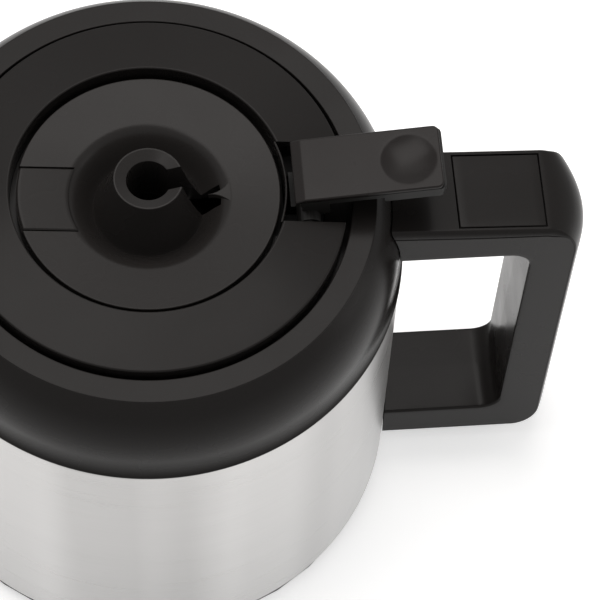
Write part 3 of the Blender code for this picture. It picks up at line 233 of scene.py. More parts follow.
# The section goes down the outside from the neck to the foot and back up the inside.
wall_line = [(NECK_R, NECK_TOP_Z), (NECK_R, NECK_LOW_Z), (LIP_R - LIP_ROLL - LIP_LEDGE, LIP_Z),
             (LIP_R, LIP_Z), (FOOT_R, FOOT_Z), (FOOT_R - FOOT_TURN, FOOT_Z)]
wall_fillets = [0.2 * MM, 2.0 * MM, 0.5 * MM, LIP_ROLL, FOOT_ROLL, 0.3 * MM,
                0.3 * MM, FOOT_ROLL - SHEET, LIP_ROLL - SHEET, 1.0 * MM, 1.5 * MM, 0.2 * MM]
wall_section = rounded(np.vstack([wall_line, inset(wall_line, SHEET)[::-1]]), wall_fillets)
steel_wall = lathe("steel_wall", spread(wall_section, 1.6 * MM, 0.15 * MM), wall_steel)
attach(steel_wall, "carafe")
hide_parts("outer_shell")


# ------------------------ flask and floor
# The inner flask is deep-drawn stainless steel, polished, with its mouth flanged over the wall's neck.  The
# pressed floor closes the vacuum and has a solder plug; both solids only take a finish.
FLASK_LOW_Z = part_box("inner_liner")[0][2]
FLASK_R, MOUTH_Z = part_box("inner_liner")[1][0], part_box("inner_liner")[1][2]
FLASK_NECK_R = 44.8 * MM
FLASK_NECK_RISE = 7.9 * MM
SHOULDER_DROP = 5.0 * MM
MOUTH_FLANGE = 2.7 * MM
FLASK_CORNER = 9.0 * MM


def dress(node, material):
    """Give a carried-over solid a new finish."""
    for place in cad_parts[node].material_slots:
        place.material = material


def lathe_bowl(name, section, material):
    """A section turned about Z whose two ends lie on the axis, where fans of triangles close it."""
    side = section[1:-1]
    count = len(side)
    poles = [(0.0, 0.0, section[0, 1]), (0.0, 0.0, section[-1, 1])]
    here = np.arange(LATHE_STEPS) * count
    ahead = np.roll(here, -1)
    pole = np.full(LATHE_STEPS, LATHE_STEPS * count)
    first = np.stack([pole, here, ahead], -1)
    last = np.stack([pole + 1, ahead + count - 1, here + count - 1], -1)
    faces = band(LATHE_STEPS, count, wrap=False) + first.tolist() + last.tolist()
    return closed_mesh(name, np.vstack([turned(side), poles]), faces, material)


# Polished stainless steel: dark and bright streaks with soft edges, and painted upright reflection bands in
# its base colour.
flask_steel = brushed_steel("polished_stainless_steel", "#b9b8b6", 0.16, 0.8, 0.06)

flask_line = [(FLASK_NECK_R + MOUTH_FLANGE, MOUTH_Z - SHEET), (FLASK_NECK_R, MOUTH_Z - SHEET),
              (FLASK_NECK_R, MOUTH_Z - FLASK_NECK_RISE), (FLASK_R, LIP_Z - SHOULDER_DROP),
              (FLASK_R, FLASK_LOW_Z), (0, FLASK_LOW_Z)]
flask_fillets = [0, FLASK_CORNER, 3.0 * MM, 1.5 * MM, 0.4 * MM, 0.2 * MM,
                 0.2 * MM, 1.0 * MM, 2.2 * MM, 2.2 * MM, FLASK_CORNER - SHEET, 0]
flask_sheet = rounded(np.vstack([flask_line[::-1], inset(flask_line, SHEET)]), flask_fillets)
flask_sheet = spread(flask_sheet, 3.0 * MM, 0.15 * MM)
off_axis = flask_sheet[flask_sheet[:, 0] > 0.5 * MM]
flask_section = np.vstack([[(0, FLASK_LOW_Z)], off_axis, [(0, FLASK_LOW_Z + SHEET)]])
flask = lathe_bowl("inner_flask", flask_section, flask_steel)
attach(flask, "carafe")
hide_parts("inner_liner")

# Pressed stainless sheet, duller than the wall, and a dull dot of tin solder.
dress("shell_floor", brushed_steel("pressed_stainless_steel", "#bdbab6", 0.38, 1.2, 0.15))
dress("vacuum_seal", brushed_steel("tin_solder", "#a9a9a6", 0.45, 0.9, 0.3))


# ------------------------ base
# Polypropylene cap moulded with a spigot that snaps into the steel foot.  A silicone pad is let into its
# underside, so that the carafe doesn't slide.
def moulded(name, colour, roughness, grain_mm=0.35, depth=0.06, gloss=0.5):
    """Injection-moulded plastic: the texture of an eroded mould as fine bumps, and a slightly uneven gloss.

    The bumps are drawn grain_mm apart, coarser than real ones, so that they show.  The roughness drifts over
    17 mm, and gloss is how strongly it mirrors.
    """
    made, tree, place = new_material(name)
    fine = add(tree, "ShaderNodeTexNoise", {"Vector": place}, Scale=1000.0 / grain_mm, Detail=3.0,
               Roughness=0.55)
    flow = add(tree, "ShaderNodeTexNoise", {"Vector": place}, Scale=60.0, Detail=2.0)
    rough = add(tree, "ShaderNodeMapRange", {"Value": flow.outputs["Fac"]}, From_Min=0.3, From_Max=0.7,
                To_Min=roughness - 0.03, To_Max=roughness + 0.03)
    tone = add(tree, "ShaderNodeMapRange", {"Value": fine.outputs["Fac"]}, From_Min=0.3, From_Max=0.7,
               To_Min=0.9, To_Max=1.1)
    base = add(tree, "ShaderNodeVectorMath", {"Scale": tone.outputs[0]}, operation="SCALE")
    base.inputs[0].default_value = linear(colour)[:3]
    bump = add(tree, "ShaderNodeBump", {"Height": fine.outputs["Fac"]}, Strength=depth, Distance=0.00001)
    shader = add(tree, "ShaderNodeBsdfPrincipled",
                 {"Base Color": base.outputs[0], "Roughness": rough.outputs[0], "Normal": bump.outputs[0]},
                 IOR=1.49, Specular_IOR_Level=gloss)
    add(tree, "ShaderNodeOutputMaterial", {"Surface": shader.outputs[0]})
    return made


# Matt black polypropylene, and grey silicone with the bloom of a rough mould.
base_plastic = moulded("moulded_polypropylene_matt_black", "#23201f", 0.5)
rubber = moulded("moulded_silicone_grey", "#4a4a4a", 0.7, grain_mm=0.5, depth=0.2)
dress("base_cap", base_plastic)
dress("base_pad", rubber)


# ------------------------ collar
# Glossy black polypropylene moulding that grips the flask's neck: a flat ring, a rounded flank that sweeps
# down to the steel, and the spout drawn out of it on the side away from the handle.
RIM_OUT_R = 58.0 * MM
WELL_R = 51.7 * MM
SHELF_DROP = 6.0 * MM
SHELF_R = 45.0 * MM
COLLAR_WALL = 2.2 * MM
SPOUT_ROOT_X, SPOUT_TIP_X, SPOUT_NOSE = 47.7 * MM, 68.0 * MM, 2.4 * MM
SPOUT_ROOT_HALF, SPOUT_TIP_HALF = 19.0 * MM, 6.6 * MM
SPOUT_RISE = 1.2 * MM
SPOUT_WALL = 1.8 * MM
CHANNEL_ROOT_DROP, CHANNEL_TIP_DROP = 5.6 * MM, 1.0 * MM
TROUGH_ROOT_HALF = 17 * MM
SHOULDER_SHARE, TURN_SHARE = 0.71, 0.49
FLARE = 0.3 * MM
SPOUT_SWING = 0.42         # radians to each side of the spout that have the finer grid

# Polished mould, black polypropylene: broad soft highlights on a warm black.
black = moulded("moulded_polypropylene_gloss_black", "#1c1a19", 0.26, gloss=0.095)


def cubic(a, b, c, d, count):
    """Points along a cubic curve from a to d, drawn towards b and c."""
    t = np.linspace(0, 1, count)[:, None]
    a, b, c, d = map(np.array, (a, b, c, d))
    return (1 - t) ** 3 * a + 3 * (1 - t) ** 2 * t * b + 3 * (1 - t) * t ** 2 * c + t ** 3 * d


def collar_flank():
    """Flank of the collar: a full shoulder, steeper down to the waist, then a short flare over the steel."""
    waist_r, waist_z = LIP_R - 0.8 * MM, RIM_Z - SHOULDER_SHARE * COLLAR_RISE
    top_z, edge = RIM_Z - 0.3 * MM, (LIP_R + FLARE, COLLAR_LOW_Z + 0.5 * MM)
    fall = top_z - waist_z
    turn_r = RIM_OUT_R + TURN_SHARE * (waist_r - RIM_OUT_R)
    shoulder = cubic((RIM_OUT_R, top_z), (turn_r, top_z - 0.16 * fall), (waist_r, RIM_Z - 0.5 * fall),
                     (waist_r, waist_z), 34)
    flare = cubic((waist_r, waist_z), (waist_r, (waist_z + edge[1]) / 2),
                  (waist_r + 0.3 * MM, edge[1] + 1.1 * MM), edge, 17)
    return np.vstack([shoulder, flare[1:]])


# The closed section has five runs: top, flank, foot, inside and shelf.
flank = collar_flank()
foot_r = LIP_R + FLARE
shelf_z = RIM_Z - SHELF_DROP
shelf_low_z = shelf_z - 2 * MM
in_wall_r = WELL_R + COLLAR_WALL
top_line = [(WELL_R, shelf_z), (WELL_R, RIM_Z), (RIM_OUT_R, RIM_Z), (RIM_OUT_R, RIM_Z - 3 * MM),
            (WELL_R, RIM_Z - 8 * MM)]
top_run = rounded(top_line, [0.8 * MM, 0.35 * MM, 0.3 * MM, 0, 0])[:3 * (CORNER_STEPS + 1)]
foot_run = [(foot_r, COLLAR_LOW_Z + 0.15 * MM), (foot_r - 0.15 * MM, COLLAR_LOW_Z),
            (foot_r - COLLAR_WALL, COLLAR_LOW_Z)]
in_run = inset(flank, COLLAR_WALL)[8::6]
in_run = in_run[(in_run[:, 1] > COLLAR_LOW_Z + 1.5 * MM) & (in_run[:, 1] < RIM_Z - 3.5 * MM)][::-1]
shelf_run = [(in_wall_r, RIM_Z - COLLAR_WALL), (in_wall_r, shelf_low_z), (SHELF_R, shelf_low_z),
             (SHELF_R, shelf_z)]
collar_section = spread(np.vstack([top_run, flank[1:], foot_run, in_run, shelf_run]), 1.0 * MM, 0.12 * MM)
collar_r, collar_z = collar_section.T

# Which of its points the spout moves: those outside, those on top, and those under the top.
flank_r = np.interp(-collar_z, -flank[:, 1], flank[:, 0])
outside = (collar_r > RIM_OUT_R - 0.5 * MM) & (collar_z > COLLAR_LOW_Z) & (collar_r > flank_r - 0.6 * MM)
in_well = (collar_r > SHELF_R + 0.5 * MM) & (collar_r < WELL_R + 0.5 * MM)
on_rim = (collar_z > RIM_Z - 0.5 * MM) & (collar_r < RIM_OUT_R + 0.01 * MM)
on_top = (collar_z >= shelf_z - 0.01 * MM) & (in_well | on_rim)
under_top = ~outside & ~on_top & (collar_z > shelf_z) & (collar_r > WELL_R + 1 * MM)


def slab(name, top, low, material, crease=40.0):
    """A sheet with two skins given as equal grids of points, stitched together round their edges."""
    rows, cols = top.shape[:2]
    points = np.concatenate([top.reshape(-1, 3), low.reshape(-1, 3)])
    upper = band(rows, cols, wrap=False, loop=False)
    lower = [[k + rows * cols for k in f[::-1]] for f in upper]
    i, j = np.arange(rows), np.arange(cols)
    loop = np.concatenate([j[:-1], i[:-1] * cols + cols - 1, (rows - 1) * cols + j[:0:-1], i[:0:-1] * cols])
    ahead = np.roll(loop, -1)
    sides = np.stack([ahead, loop, loop + rows * cols, ahead + rows * cols], -1).tolist()
    return closed_mesh(name, points, upper + lower + sides, material, crease)


def spout_half(x):
    """Half width of the spout: wide at its root in the well and narrow at its tip."""
    left = np.clip((SPOUT_TIP_X - x) / (SPOUT_TIP_X - SPOUT_ROOT_X), 0, 1)
    return SPOUT_TIP_HALF + (SPOUT_ROOT_HALF - SPOUT_TIP_HALF) * left ** 1.5


def channel_z(x):
    """Floor of the spout's channel: a straight climb from the well's shelf to the tip."""
    gone = np.clip((x - SPOUT_ROOT_X) / (SPOUT_TIP_X - SPOUT_ROOT_X), 0, 1.1)
    return RIM_Z - CHANNEL_ROOT_DROP + (CHANNEL_ROOT_DROP - CHANNEL_TIP_DROP) * gone


def collar_surface():
    """The section turned about Z, sunk just below the channel's floor where the trough lies over it."""
    fine = np.linspace(-SPOUT_SWING, SPOUT_SWING, 88)
    coarse = np.linspace(SPOUT_SWING, 2 * math.pi - SPOUT_SWING, 154)[1:-1]
    swing = np.concatenate([fine, coarse])[:, None]
    r, z = np.tile(collar_r, (len(swing), 1)), np.tile(collar_z, (len(swing), 1))
    x, y = r * np.cos(swing), np.abs(r * np.sin(swing))
    half, floor = spout_half(x), channel_z(x) - 0.15 * MM
    low = floor + (RIM_Z - floor) * np.clip(y / half, 0, 1) ** 4
    low = np.where((y < half - SPOUT_WALL / 2) & (x > SPOUT_ROOT_X), low, 1.0)
    z = np.where(on_top | outside, np.minimum(z, low), z)
    z = np.where(under_top, np.minimum(z, low - 1.2 * MM), z)
    angle = swing + math.pi
    return np.stack([r * np.cos(angle), r * np.sin(angle), z], -1)


collar_grid = collar_surface()
collar = closed_mesh("collar_moulding", collar_grid.reshape(-1, 3), band(*collar_grid.shape[:2]), black)


def spout_trough():
    """Outer and inner skin of the spout: s runs from the well's wall to the tip, v across.

    The height goes from floor to rim as the fourth power of v, and the tip bulges as 1 - v squared.  The
    outer skin is one wall thickness wider and deeper.
    """
    s, v = np.linspace(0, 1, 44)[:, None], np.sin(np.linspace(-math.pi / 2, math.pi / 2, 71))[None]
    root = np.sqrt((WELL_R - 0.2 * MM) ** 2 - (TROUGH_ROOT_HALF * v) ** 2)
    x = root + (SPOUT_TIP_X - root) * s + (SPOUT_NOSE - 0.01 * MM) * (1 - v ** 2) * s ** 3
    gone = np.clip((x - RIM_OUT_R) / (SPOUT_TIP_X - RIM_OUT_R), 0, 1)
    rim_z = RIM_Z + 0.03 * MM + SPOUT_RISE * gone ** 1.5
    skins = []
    for wall in (SPOUT_WALL, 0):
        floor = channel_z(x) - SPOUT_WALL + wall
        skins.append(np.stack([-x, (spout_half(x) - wall) * v, floor + (rim_z - floor) * v ** 4], -1))
    return skins


trough = slab("spout_trough", *spout_trough(), black)
for piece in (collar, trough):
    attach(piece, "carafe")
    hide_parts("collar")


# ------------------------ neck
# Under the collar, out of sight: the moulded ring that clamps it to the steel shoulder, and the silicone
# gasket that lies between the collar and the flask's mouth.
dress("neck_clamp", base_plastic)
dress("neck_gasket", rubber)


# ------------------------ lid ring
# Cone-shaped ring of the same black moulding.  A pocket across it takes the lever's hinge: its cheeks carry
# the pin, its floor has a hole for the lever's leg, and the ledge inside the ring carries the disc.
LID_R = WELL_R - 1.25 * MM
EYE_R = 35.0 * MM
EDGE_RISE, EYE_RISE = 1.65 * MM, 4.26 * MM
LID_WALL = 2.2 * MM
LEDGE_Z = RIM_Z - 3.5 * MM
LID_FLOOR_Z = LEDGE_Z - 2.0 * MM
POCKET_HALF = 11.5 * MM
CHEEK_WALL = 2.5 * MM
FLANGE_R = 44.6 * MM
FLOOR_BORE_R = EYE_R - 3.5 * MM
LEG_SLOT_R, LEG_SLOT_END, LEG_SLOT_HALF = 34.2 * MM, 40.6 * MM, 5.6 * MM


def cone_z(r):
    """Height of the ring's upper face: a straight fall from the eye to the outer edge."""
    return RIM_Z + EYE_RISE + (r - EYE_R) / (LID_R - EYE_R) * (EDGE_RISE - EYE_RISE)


def gapped_mesh(name, grid, is_open, material):
    """A mesh from a grid of sections that run nearly once round an axis, on both sides of a gap.

    Where is_open is false the first and last sections share their points; the open run gets two end caps.
    """
    steps, count = grid.shape[:2]
    points, last = grid.reshape(-1, 3), (steps - 1) * count
    faces = band(steps, count, loop=False)
    open_run, shut = np.flatnonzero(is_open), np.flatnonzero(~is_open)
    if len(shut) == 0:
        faces += [list(range(count)), list(range(last + count - 1, last - 1, -1))]
        return closed_mesh(name, points, faces, material)
    index = np.arange(len(points))
    index[last + shut] = shut
    first = int(open_run[np.flatnonzero(np.diff(open_run, prepend=open_run[-1] - count) > 1)[0]])
    run = [(first + k) % count for k in range(-1, len(open_run) + 1)]
    faces += [run, [last + k for k in run[::-1]]]
    used, packed = np.unique(index[np.concatenate(faces)], return_inverse=True)
    cuts = np.cumsum([len(f) for f in faces])[:-1]
    return closed_mesh(name, points[used], [f.tolist() for f in np.split(packed, cuts)], material)


def gapped_lathe(name, section, half_gap, material):
    """A section turned about Z but for a straight gap along +X: the angle starts at asin(half gap / r)."""
    r, z = section[:, 0], section[:, 1]
    start = np.arcsin(half_gap / r)
    angle = start + np.linspace(0, 1, LATHE_STEPS)[:, None] * (2 * math.pi - 2 * start)
    grid = np.stack([r * np.cos(angle), r * np.sin(angle), np.tile(z, (LATHE_STEPS, 1))], -1)
    return gapped_mesh(name, grid, r > 0, material)


wall_r = EYE_R + LID_WALL
skirt_z = shelf_z + 0.3 * MM
ring_line = [(EYE_R, cone_z(EYE_R)), (LID_R, cone_z(LID_R)), (LID_R, skirt_z), (LID_R - LID_WALL, skirt_z),
             (LID_R - LID_WALL, cone_z(LID_R) - LID_WALL), (wall_r, cone_z(wall_r) - LID_WALL),
             (wall_r, LEDGE_Z), (FLANGE_R, LEDGE_Z), (FLANGE_R, LID_FLOOR_Z), (FLOOR_BORE_R, LID_FLOOR_Z),
             (FLOOR_BORE_R, LEDGE_Z), (EYE_R, LEDGE_Z)]
ring_fillets = np.array([0.45, 0.5, 0.2, 0.2, 0.5, 0.5, 0.2, 0.2, 0.2, 0.2, 0.2, 0.1]) * MM
ring_section = spread(rounded(ring_line, ring_fillets), 0.9 * MM, 0.1 * MM)
ring = gapped_lathe("lid_ring_moulding", ring_section, POCKET_HALF, black)


def stations(start, end, close, step):
    """Places from start to end, crowded near both ends over the distance close, then one every step."""
    near = close * (1 - np.cos(np.linspace(0, math.pi / 2, 8)))
    middle = np.linspace(start + close, end - close, max(2, int((end - start) / step)))
    return np.concatenate([start + near[:-1], middle, (end - near[:-1])[::-1]])


def block(name, low, high, material, edge=0.2 * MM):
    """A block between two corners whose upper edges are rounded: drop = edge - root(edge^2 - overlap^2)."""
    x, y = stations(low[0], high[0], edge, 2 * MM), stations(low[1], high[1], edge, 2 * MM)
    x, y = np.meshgrid(x, y, indexing="ij")
    over_x = np.clip(edge - np.minimum(x - low[0], high[0] - x), 0, edge)
    over_y = np.clip(edge - np.minimum(y - low[1], high[1] - y), 0, edge)
    drop = edge - np.sqrt(np.clip(edge ** 2 - over_x ** 2 - over_y ** 2, 0, None))
    top = np.stack([x, y, high[2] - drop], -1)
    return slab(name, top, np.stack([x, y, np.full_like(x, low[2])], -1), material)


cheek_y = POCKET_HALF + CHEEK_WALL
cheek_x = math.sqrt((LID_R - 0.4 * MM) ** 2 - cheek_y ** 2)
cheek_top = cone_z(math.hypot(cheek_x, cheek_y)) - 0.3 * MM
lid_pieces = [ring]
# Unpolished mould, matt, and painted very dark: painted shade, so that the pocket reads as a deep gap.
pocket_black_painted_shade = moulded("moulded_polypropylene_pocket_black_painted_shade", "#0c0b0b", 0.7, gloss=0.12)
for side, tag in ((1, "far"), (-1, "near")):
    low_y, high_y = sorted((side * (POCKET_HALF + 0.05 * MM), side * cheek_y))
    lid_pieces.append(block("pocket_cheek_" + tag, (wall_r - 1 * MM, low_y, LEDGE_Z - 1 * MM),
                            (cheek_x, high_y, cheek_top), pocket_black_painted_shade))


def arc_side(radius, half):
    """Points of an arc about the lid's axis, from -half to half across the handle's side."""
    y = np.linspace(-half, half, 24)
    return np.column_stack([np.sqrt(radius ** 2 - y ** 2), y])


# The pocket's floor is a plate between two arcs, with an oblong hole for the lever's leg.
floor_half = POCKET_HALF + 0.5 * MM
outer_arc, inner_arc = arc_side(FLANGE_R, floor_half), arc_side(FLOOR_BORE_R, floor_half)
plan = np.vstack([outer_arc, np.linspace(outer_arc[-1], inner_arc[-1], 10)[1:-1], inner_arc[::-1],
                  np.linspace(inner_arc[0], outer_arc[0], 10)[1:-1]])
turn = np.array([(LEG_SLOT_END, -LEG_SLOT_HALF), (LEG_SLOT_END, LEG_SLOT_HALF),
                 (LEG_SLOT_R, LEG_SLOT_HALF), (LEG_SLOT_R, -LEG_SLOT_HALF)])
hole = np.vstack([np.linspace(turn[0], turn[1], 24), np.linspace(turn[1], turn[2], 10)[1:-1],
                  np.linspace(turn[2], turn[3], 24), np.linspace(turn[3], turn[0], 10)[1:-1]])
floor_top, floor_low = LEDGE_Z - 0.02 * MM, LID_FLOOR_Z + 0.02 * MM
floor_rows = [np.column_stack([line, np.full(len(line), z)])
              for line, z in ((plan, floor_top), (hole, floor_top), (hole, floor_low), (plan, floor_low))]
floor_rows = np.stack(floor_rows, 1).reshape(-1, 3)
lid_pieces.append(closed_mesh("pocket_floor", floor_rows, band(len(plan), 4), pocket_black_painted_shade))

# The ring's inner wall runs on across the pocket, so that the eye stays round.
eye_y = np.linspace(-POCKET_HALF - 0.1 * MM, POCKET_HALF + 0.1 * MM, 40)[None]
eye_r = np.array([0, 0.08, 0.25, 0.42, 0.5])[:, None] * MM + EYE_R - 0.5 * MM
eye_x = np.sqrt(eye_r ** 2 - eye_y ** 2)
eye_sink = np.array([0.12, 0.03, 0, 0.03, 0.12])[:, None] * MM
eye_top = cone_z(EYE_R) - 0.25 * MM - eye_sink + 0 * eye_y
upper = np.stack([eye_x, eye_y + 0 * eye_x, eye_top], -1)
lower = np.stack([eye_x, eye_y + 0 * eye_x, np.full_like(eye_x, LEDGE_Z - 0.01 * MM)], -1)
lid_pieces.append(slab("eye_wall", upper, lower, black))
for piece in lid_pieces:
    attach(piece, "lid")
    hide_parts("lid_ring")


# ------------------------ lid disc
# Dished centre of the lid, one black moulding: coffee runs down the dish and round the moat, and the dome's
# drip hole lets it in.  A slot runs from the hole towards the lever, with a pointed tongue over its end.
DISC_R = EYE_R - 1.6 * MM
DISC_RISE, DISH_FALL = 1.94 * MM, 0.15
DISC_WALL = 1.8 * MM
MOAT_R, MOAT_ROUND, MOAT_DEPTH, MOAT_FLOOR_R = 20.0 * MM, 1.2 * MM, 6.3 * MM, 14.0 * MM
DOME_R, DOME_RISE, DOME_LAND = 8.8 * MM, 8.85 * MM, 0.4 * MM
DRIP_R, DRIP_SINK = 5.6 * MM, 1.1 * MM
SLOT_HALF, SLOT_END_R = 2.9 * MM, 18.5 * MM
TONGUE_TIP, TONGUE_HALF = 15.2 * MM, 3.2 * MM
INLAY_HALF, INLAY_END_R, INLAY_RISE, INLAY_SINK = 8.9 * MM, 20.0 * MM, 0.4 * MM, 1.0 * MM
INLAY_SEAM = 0.4 * MM
STEP_WIDTH = 0.04 * MM


def dish_z(r):
    """Height of the dish's upper face: it rises outwards by DISH_FALL for each unit of radius."""
    return RIM_Z + DISC_RISE - (DISC_R - r) * DISH_FALL


def with_step(section, radius):
    """A closed section with two points, a little apart, on every side that crosses a radius."""
    ahead = np.roll(section, -1, 0)
    k = np.flatnonzero((section[:, 0] - radius) * (ahead[:, 0] - radius) < 0)
    run = ahead[k, 0] - section[k, 0]
    r = radius + np.stack([-np.sign(run), np.sign(run)], 1) * STEP_WIDTH / 2
    slope = (ahead[k, 1] - section[k, 1]) / run
    z = section[k, 1, None] + (r - section[k, 0, None]) * slope[:, None]
    return np.insert(section, np.repeat(k + 1, 2), np.stack([r.ravel(), z.ravel()], 1), axis=0)


def outline(*runs):
    """A closed outline from corners (x, y, radius) and, between them, runs of curve points."""
    rows = [np.array([run]) if isinstance(run, tuple) else np.column_stack([run, np.zeros(len(run))])
            for run in runs]
    rows = np.vstack(rows)
    return rounded(rows[:, :2], rows[:, 2])


def disc_outline():
    """Section of the disc: dish, moat, dome, drip hole, and back underneath."""
    moat_z, dome_z = RIM_Z - MOAT_DEPTH, RIM_Z + DOME_RISE
    low_z = moat_z - DISC_WALL
    bowl = cubic((MOAT_R + MOAT_ROUND, dish_z(MOAT_R + MOAT_ROUND)),
                 (MOAT_R - 1.7 * MOAT_ROUND, dish_z(MOAT_R) - 0.3 * MOAT_ROUND),
                 (MOAT_FLOOR_R + 1.5 * MM, moat_z + 1.3 * MM), (MOAT_FLOOR_R, moat_z), 30)
    dome = cubic((MOAT_FLOOR_R, moat_z), (MOAT_FLOOR_R - 1.1 * MM, moat_z + 1.4 * MM),
                 (DOME_R + 0.31 * (MOAT_FLOOR_R - DOME_R), RIM_Z + 0.23 * DOME_RISE), (DOME_R, dome_z), 40)
    underside, inner_r, edge_z = inset(bowl, -DISC_WALL)[::-1], DISC_R - DISC_WALL, LEDGE_Z + 0.3 * MM
    return outline((DISC_R, dish_z(DISC_R), 0.35 * MM), bowl, dome[1:-1], (DOME_R, dome_z, 0.25 * MM),
                   (DOME_R - DOME_LAND, dome_z, 0.1 * MM), (DRIP_R, dome_z - DRIP_SINK, 0.15 * MM),
                   (DRIP_R, low_z, 0.2 * MM), (MOAT_FLOOR_R, low_z, 0.1 * MM), underside[1:],
                   (inner_r, dish_z(inner_r) - DISC_WALL, 0.5 * MM), (inner_r, edge_z, 0.2 * MM),
                   (DISC_R, edge_z, 0.2 * MM))


def disc_surface(section):
    """The section turned about Z, slotted towards +X, and sunk under the inlay on the side of -X.

    The angle runs from asin(half slot / r) to the recess's edge, then across the recess, where the height is
    no more than the recess's floor.
    """
    r, z = section.T
    recess_half = np.arcsin((INLAY_HALF + INLAY_SEAM) / np.maximum(r, INLAY_END_R - INLAY_SEAM))
    slot_edge = np.arcsin(np.where(r < SLOT_END_R, SLOT_HALF, 0.0) / r)
    share, wide = np.linspace(0, 1, 85)[:, None], np.linspace(-1, 1, 45)[:, None]
    beside = slot_edge + (math.pi - recess_half - slot_edge) * share
    across = math.pi + wide * (recess_half - 0.02 * MM / r)
    angle = np.vstack([beside, across, 2 * math.pi - beside[::-1]])
    x, y = r * np.cos(angle), r * np.sin(angle)
    z = np.tile(z, (len(angle), 1))
    in_recess = np.zeros(z.shape, bool)
    in_recess[len(share):len(share) + len(wide)] = r > INLAY_END_R + 0.3 * MM
    recess_z = dish_z(-x) - INLAY_SINK - 0.3 * MM
    return np.stack([x, y, np.where(in_recess, np.minimum(z, recess_z), z)], -1)


# The ring's polypropylene with slightly stronger highlights, painted a shade paler black: painted light that
# stands in for fill light in the moat and on the dome.
dish_black_painted_lighter = moulded("moulded_polypropylene_dish_black_painted_lighter", "#232120", 0.27, gloss=0.12)
disc_section = with_step(spread(disc_outline(), 0.6 * MM, 0.08 * MM), SLOT_END_R)
slotted = disc_section[:, 0] < SLOT_END_R
disc = gapped_mesh("lid_disc_moulding", disc_surface(disc_section), slotted, dish_black_painted_lighter)


def tongue_skins():
    """Upper and lower skin of the tongue: its half width grows from the tip as the power 2.2 of the way."""
    root = math.sqrt((MOAT_R + MOAT_ROUND) ** 2 - TONGUE_HALF ** 2)
    across = np.linspace(-1, 1, 21)[None]
    x = TONGUE_TIP + (root + 0.6 * MM - TONGUE_TIP) * np.linspace(0, 1, 40)[:, None]
    half = 0.12 * MM + TONGUE_HALF * ((x - TONGUE_TIP) / (root - TONGUE_TIP)) ** 2.2
    y = half * across
    x = x + 0 * y
    edge = 0.25 * MM
    to_side = np.clip(edge - half * (1 - np.abs(across)), 0, edge)
    drop = edge - np.sqrt(edge ** 2 - to_side ** 2)
    top = np.stack([x, y, dish_z(np.hypot(x, y)) - 0.03 * MM - drop], -1)
    return top, np.stack([x, y, top[..., 2] - DISC_WALL + drop], -1)


tongue = slab("drip_tongue", *tongue_skins(), dish_black_painted_lighter)
for piece in (disc, tongue):
    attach(piece, "lid")
    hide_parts("lid_disc")


def inlay_skins():
    """Upper and lower skin of the inlay, whose slope is the dish's: its ends are arcs round the axis."""
    v = stations(-INLAY_HALF, INLAY_HALF, 0.35 * MM, 1.0 * MM)[None]
    u = stations(0, 1, 0.03, 0.05)[:, None]
    near_x = np.sqrt(INLAY_END_R ** 2 - v ** 2)
    length = np.sqrt((DISC_R - 0.3 * MM) ** 2 - v ** 2) - near_x
    x = -(near_x + length * u)
    y = v + 0 * x
    bevel = 0.35 * MM
    to_edge = np.minimum(np.minimum(INLAY_HALF - np.abs(y), length * u), length * (1 - u))
    drop = 0.7 * np.clip(bevel - to_edge, 0, bevel)
    strip_z = dish_z(0) - DISH_FALL * x
    return np.stack([x, y, strip_z + INLAY_RISE - drop], -1), np.stack([x, y, strip_z - INLAY_SINK], -1)


# The inlay is a separate flat strip, a shade darker, pressed into the disc with a dark seam all round.
inlay_plastic = moulded("moulded_polypropylene_satin_black", "#201e1d", 0.28, gloss=0.11)
inlay = slab("disc_inlay_strip", *inlay_skins(), inlay_plastic, crease=25)
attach(inlay, "lid")
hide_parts("disc_inlay")


# ------------------------ lid insides
# Under the disc: the cup with its drip tube and pour window, the gasket in its groove, the valve plate on
# the tube, its spring and seal, and the lever's pin.
gasket_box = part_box("lid_gasket")
GASKET_R, GASKET_LOW_Z, GASKET_TOP_Z = gasket_box[1][0], gasket_box[0][2], gasket_box[1][2]
GASKET_BORE_R = GASKET_R - 1.4 * MM
GASKET_EDGE = 0.6 * MM
gasket_line = [(GASKET_BORE_R, GASKET_LOW_Z), (GASKET_R - GASKET_EDGE, GASKET_LOW_Z),
               (GASKET_R, GASKET_LOW_Z + GASKET_EDGE), (GASKET_R, GASKET_TOP_Z - GASKET_EDGE),
               (GASKET_R - GASKET_EDGE, GASKET_TOP_Z), (GASKET_BORE_R, GASKET_TOP_Z)]
gasket_section = spread(rounded(gasket_line, 0.2 * MM), 1.0 * MM, 0.1 * MM)
gasket = lathe("lid_gasket_ring", gasket_section, rubber)
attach(gasket, "lid")
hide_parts("lid_gasket")

# Plain black polypropylene with no polish, and bright drawn wire.
dark_plastic = moulded("moulded_polypropylene_plain_black", "#1a1817", 0.45, gloss=0.12)
spring_steel = brushed_steel("drawn_spring_steel_wire", "#c4c2bf", 0.22, 0.6, 0.05)
for node, material in (("lid_cup", dark_plastic), ("pour_valve", dark_plastic),
                       ("valve_seal", rubber), ("valve_spring", spring_steel), ("lever_pin", spring_steel)):
    dress(node, material)


# ------------------------ thumb lever
# A thin cap with a thumb dimple over a thicker carrier, both black polypropylene; a dark line shows between
# them.  The lever rises towards the handle at rest and tips the valve open when its outer end is pressed.
LEVER_IN_X, LEVER_RISE = 36.1 * MM, 9.0 * MM
LEVER_LENGTH, LEVER_HALF, LEVER_CAP = 37.6 * MM, 8.9 * MM, 1.0 * MM
LEVER_TILT = math.radians(6.5)
LEVER_CORNER, LEVER_EDGE = 1.6 * MM, 0.45 * MM
CHAMFER_RUN, CHAMFER_DROP = 2.6 * MM, 0.8 * MM
THUMB_AT, THUMB_R, THUMB_DEPTH = 29.4 * MM, 7.1 * MM, 1.4 * MM
BOSS_R, BOSS_DEPTH = 5.8 * MM, 3.2 * MM

# Satin black polypropylene: a soft broad highlight that bends in the thumb dimple.
lever_plastic = moulded("moulded_polypropylene_lever_black", "#1e1b1a", 0.28, gloss=0.12)


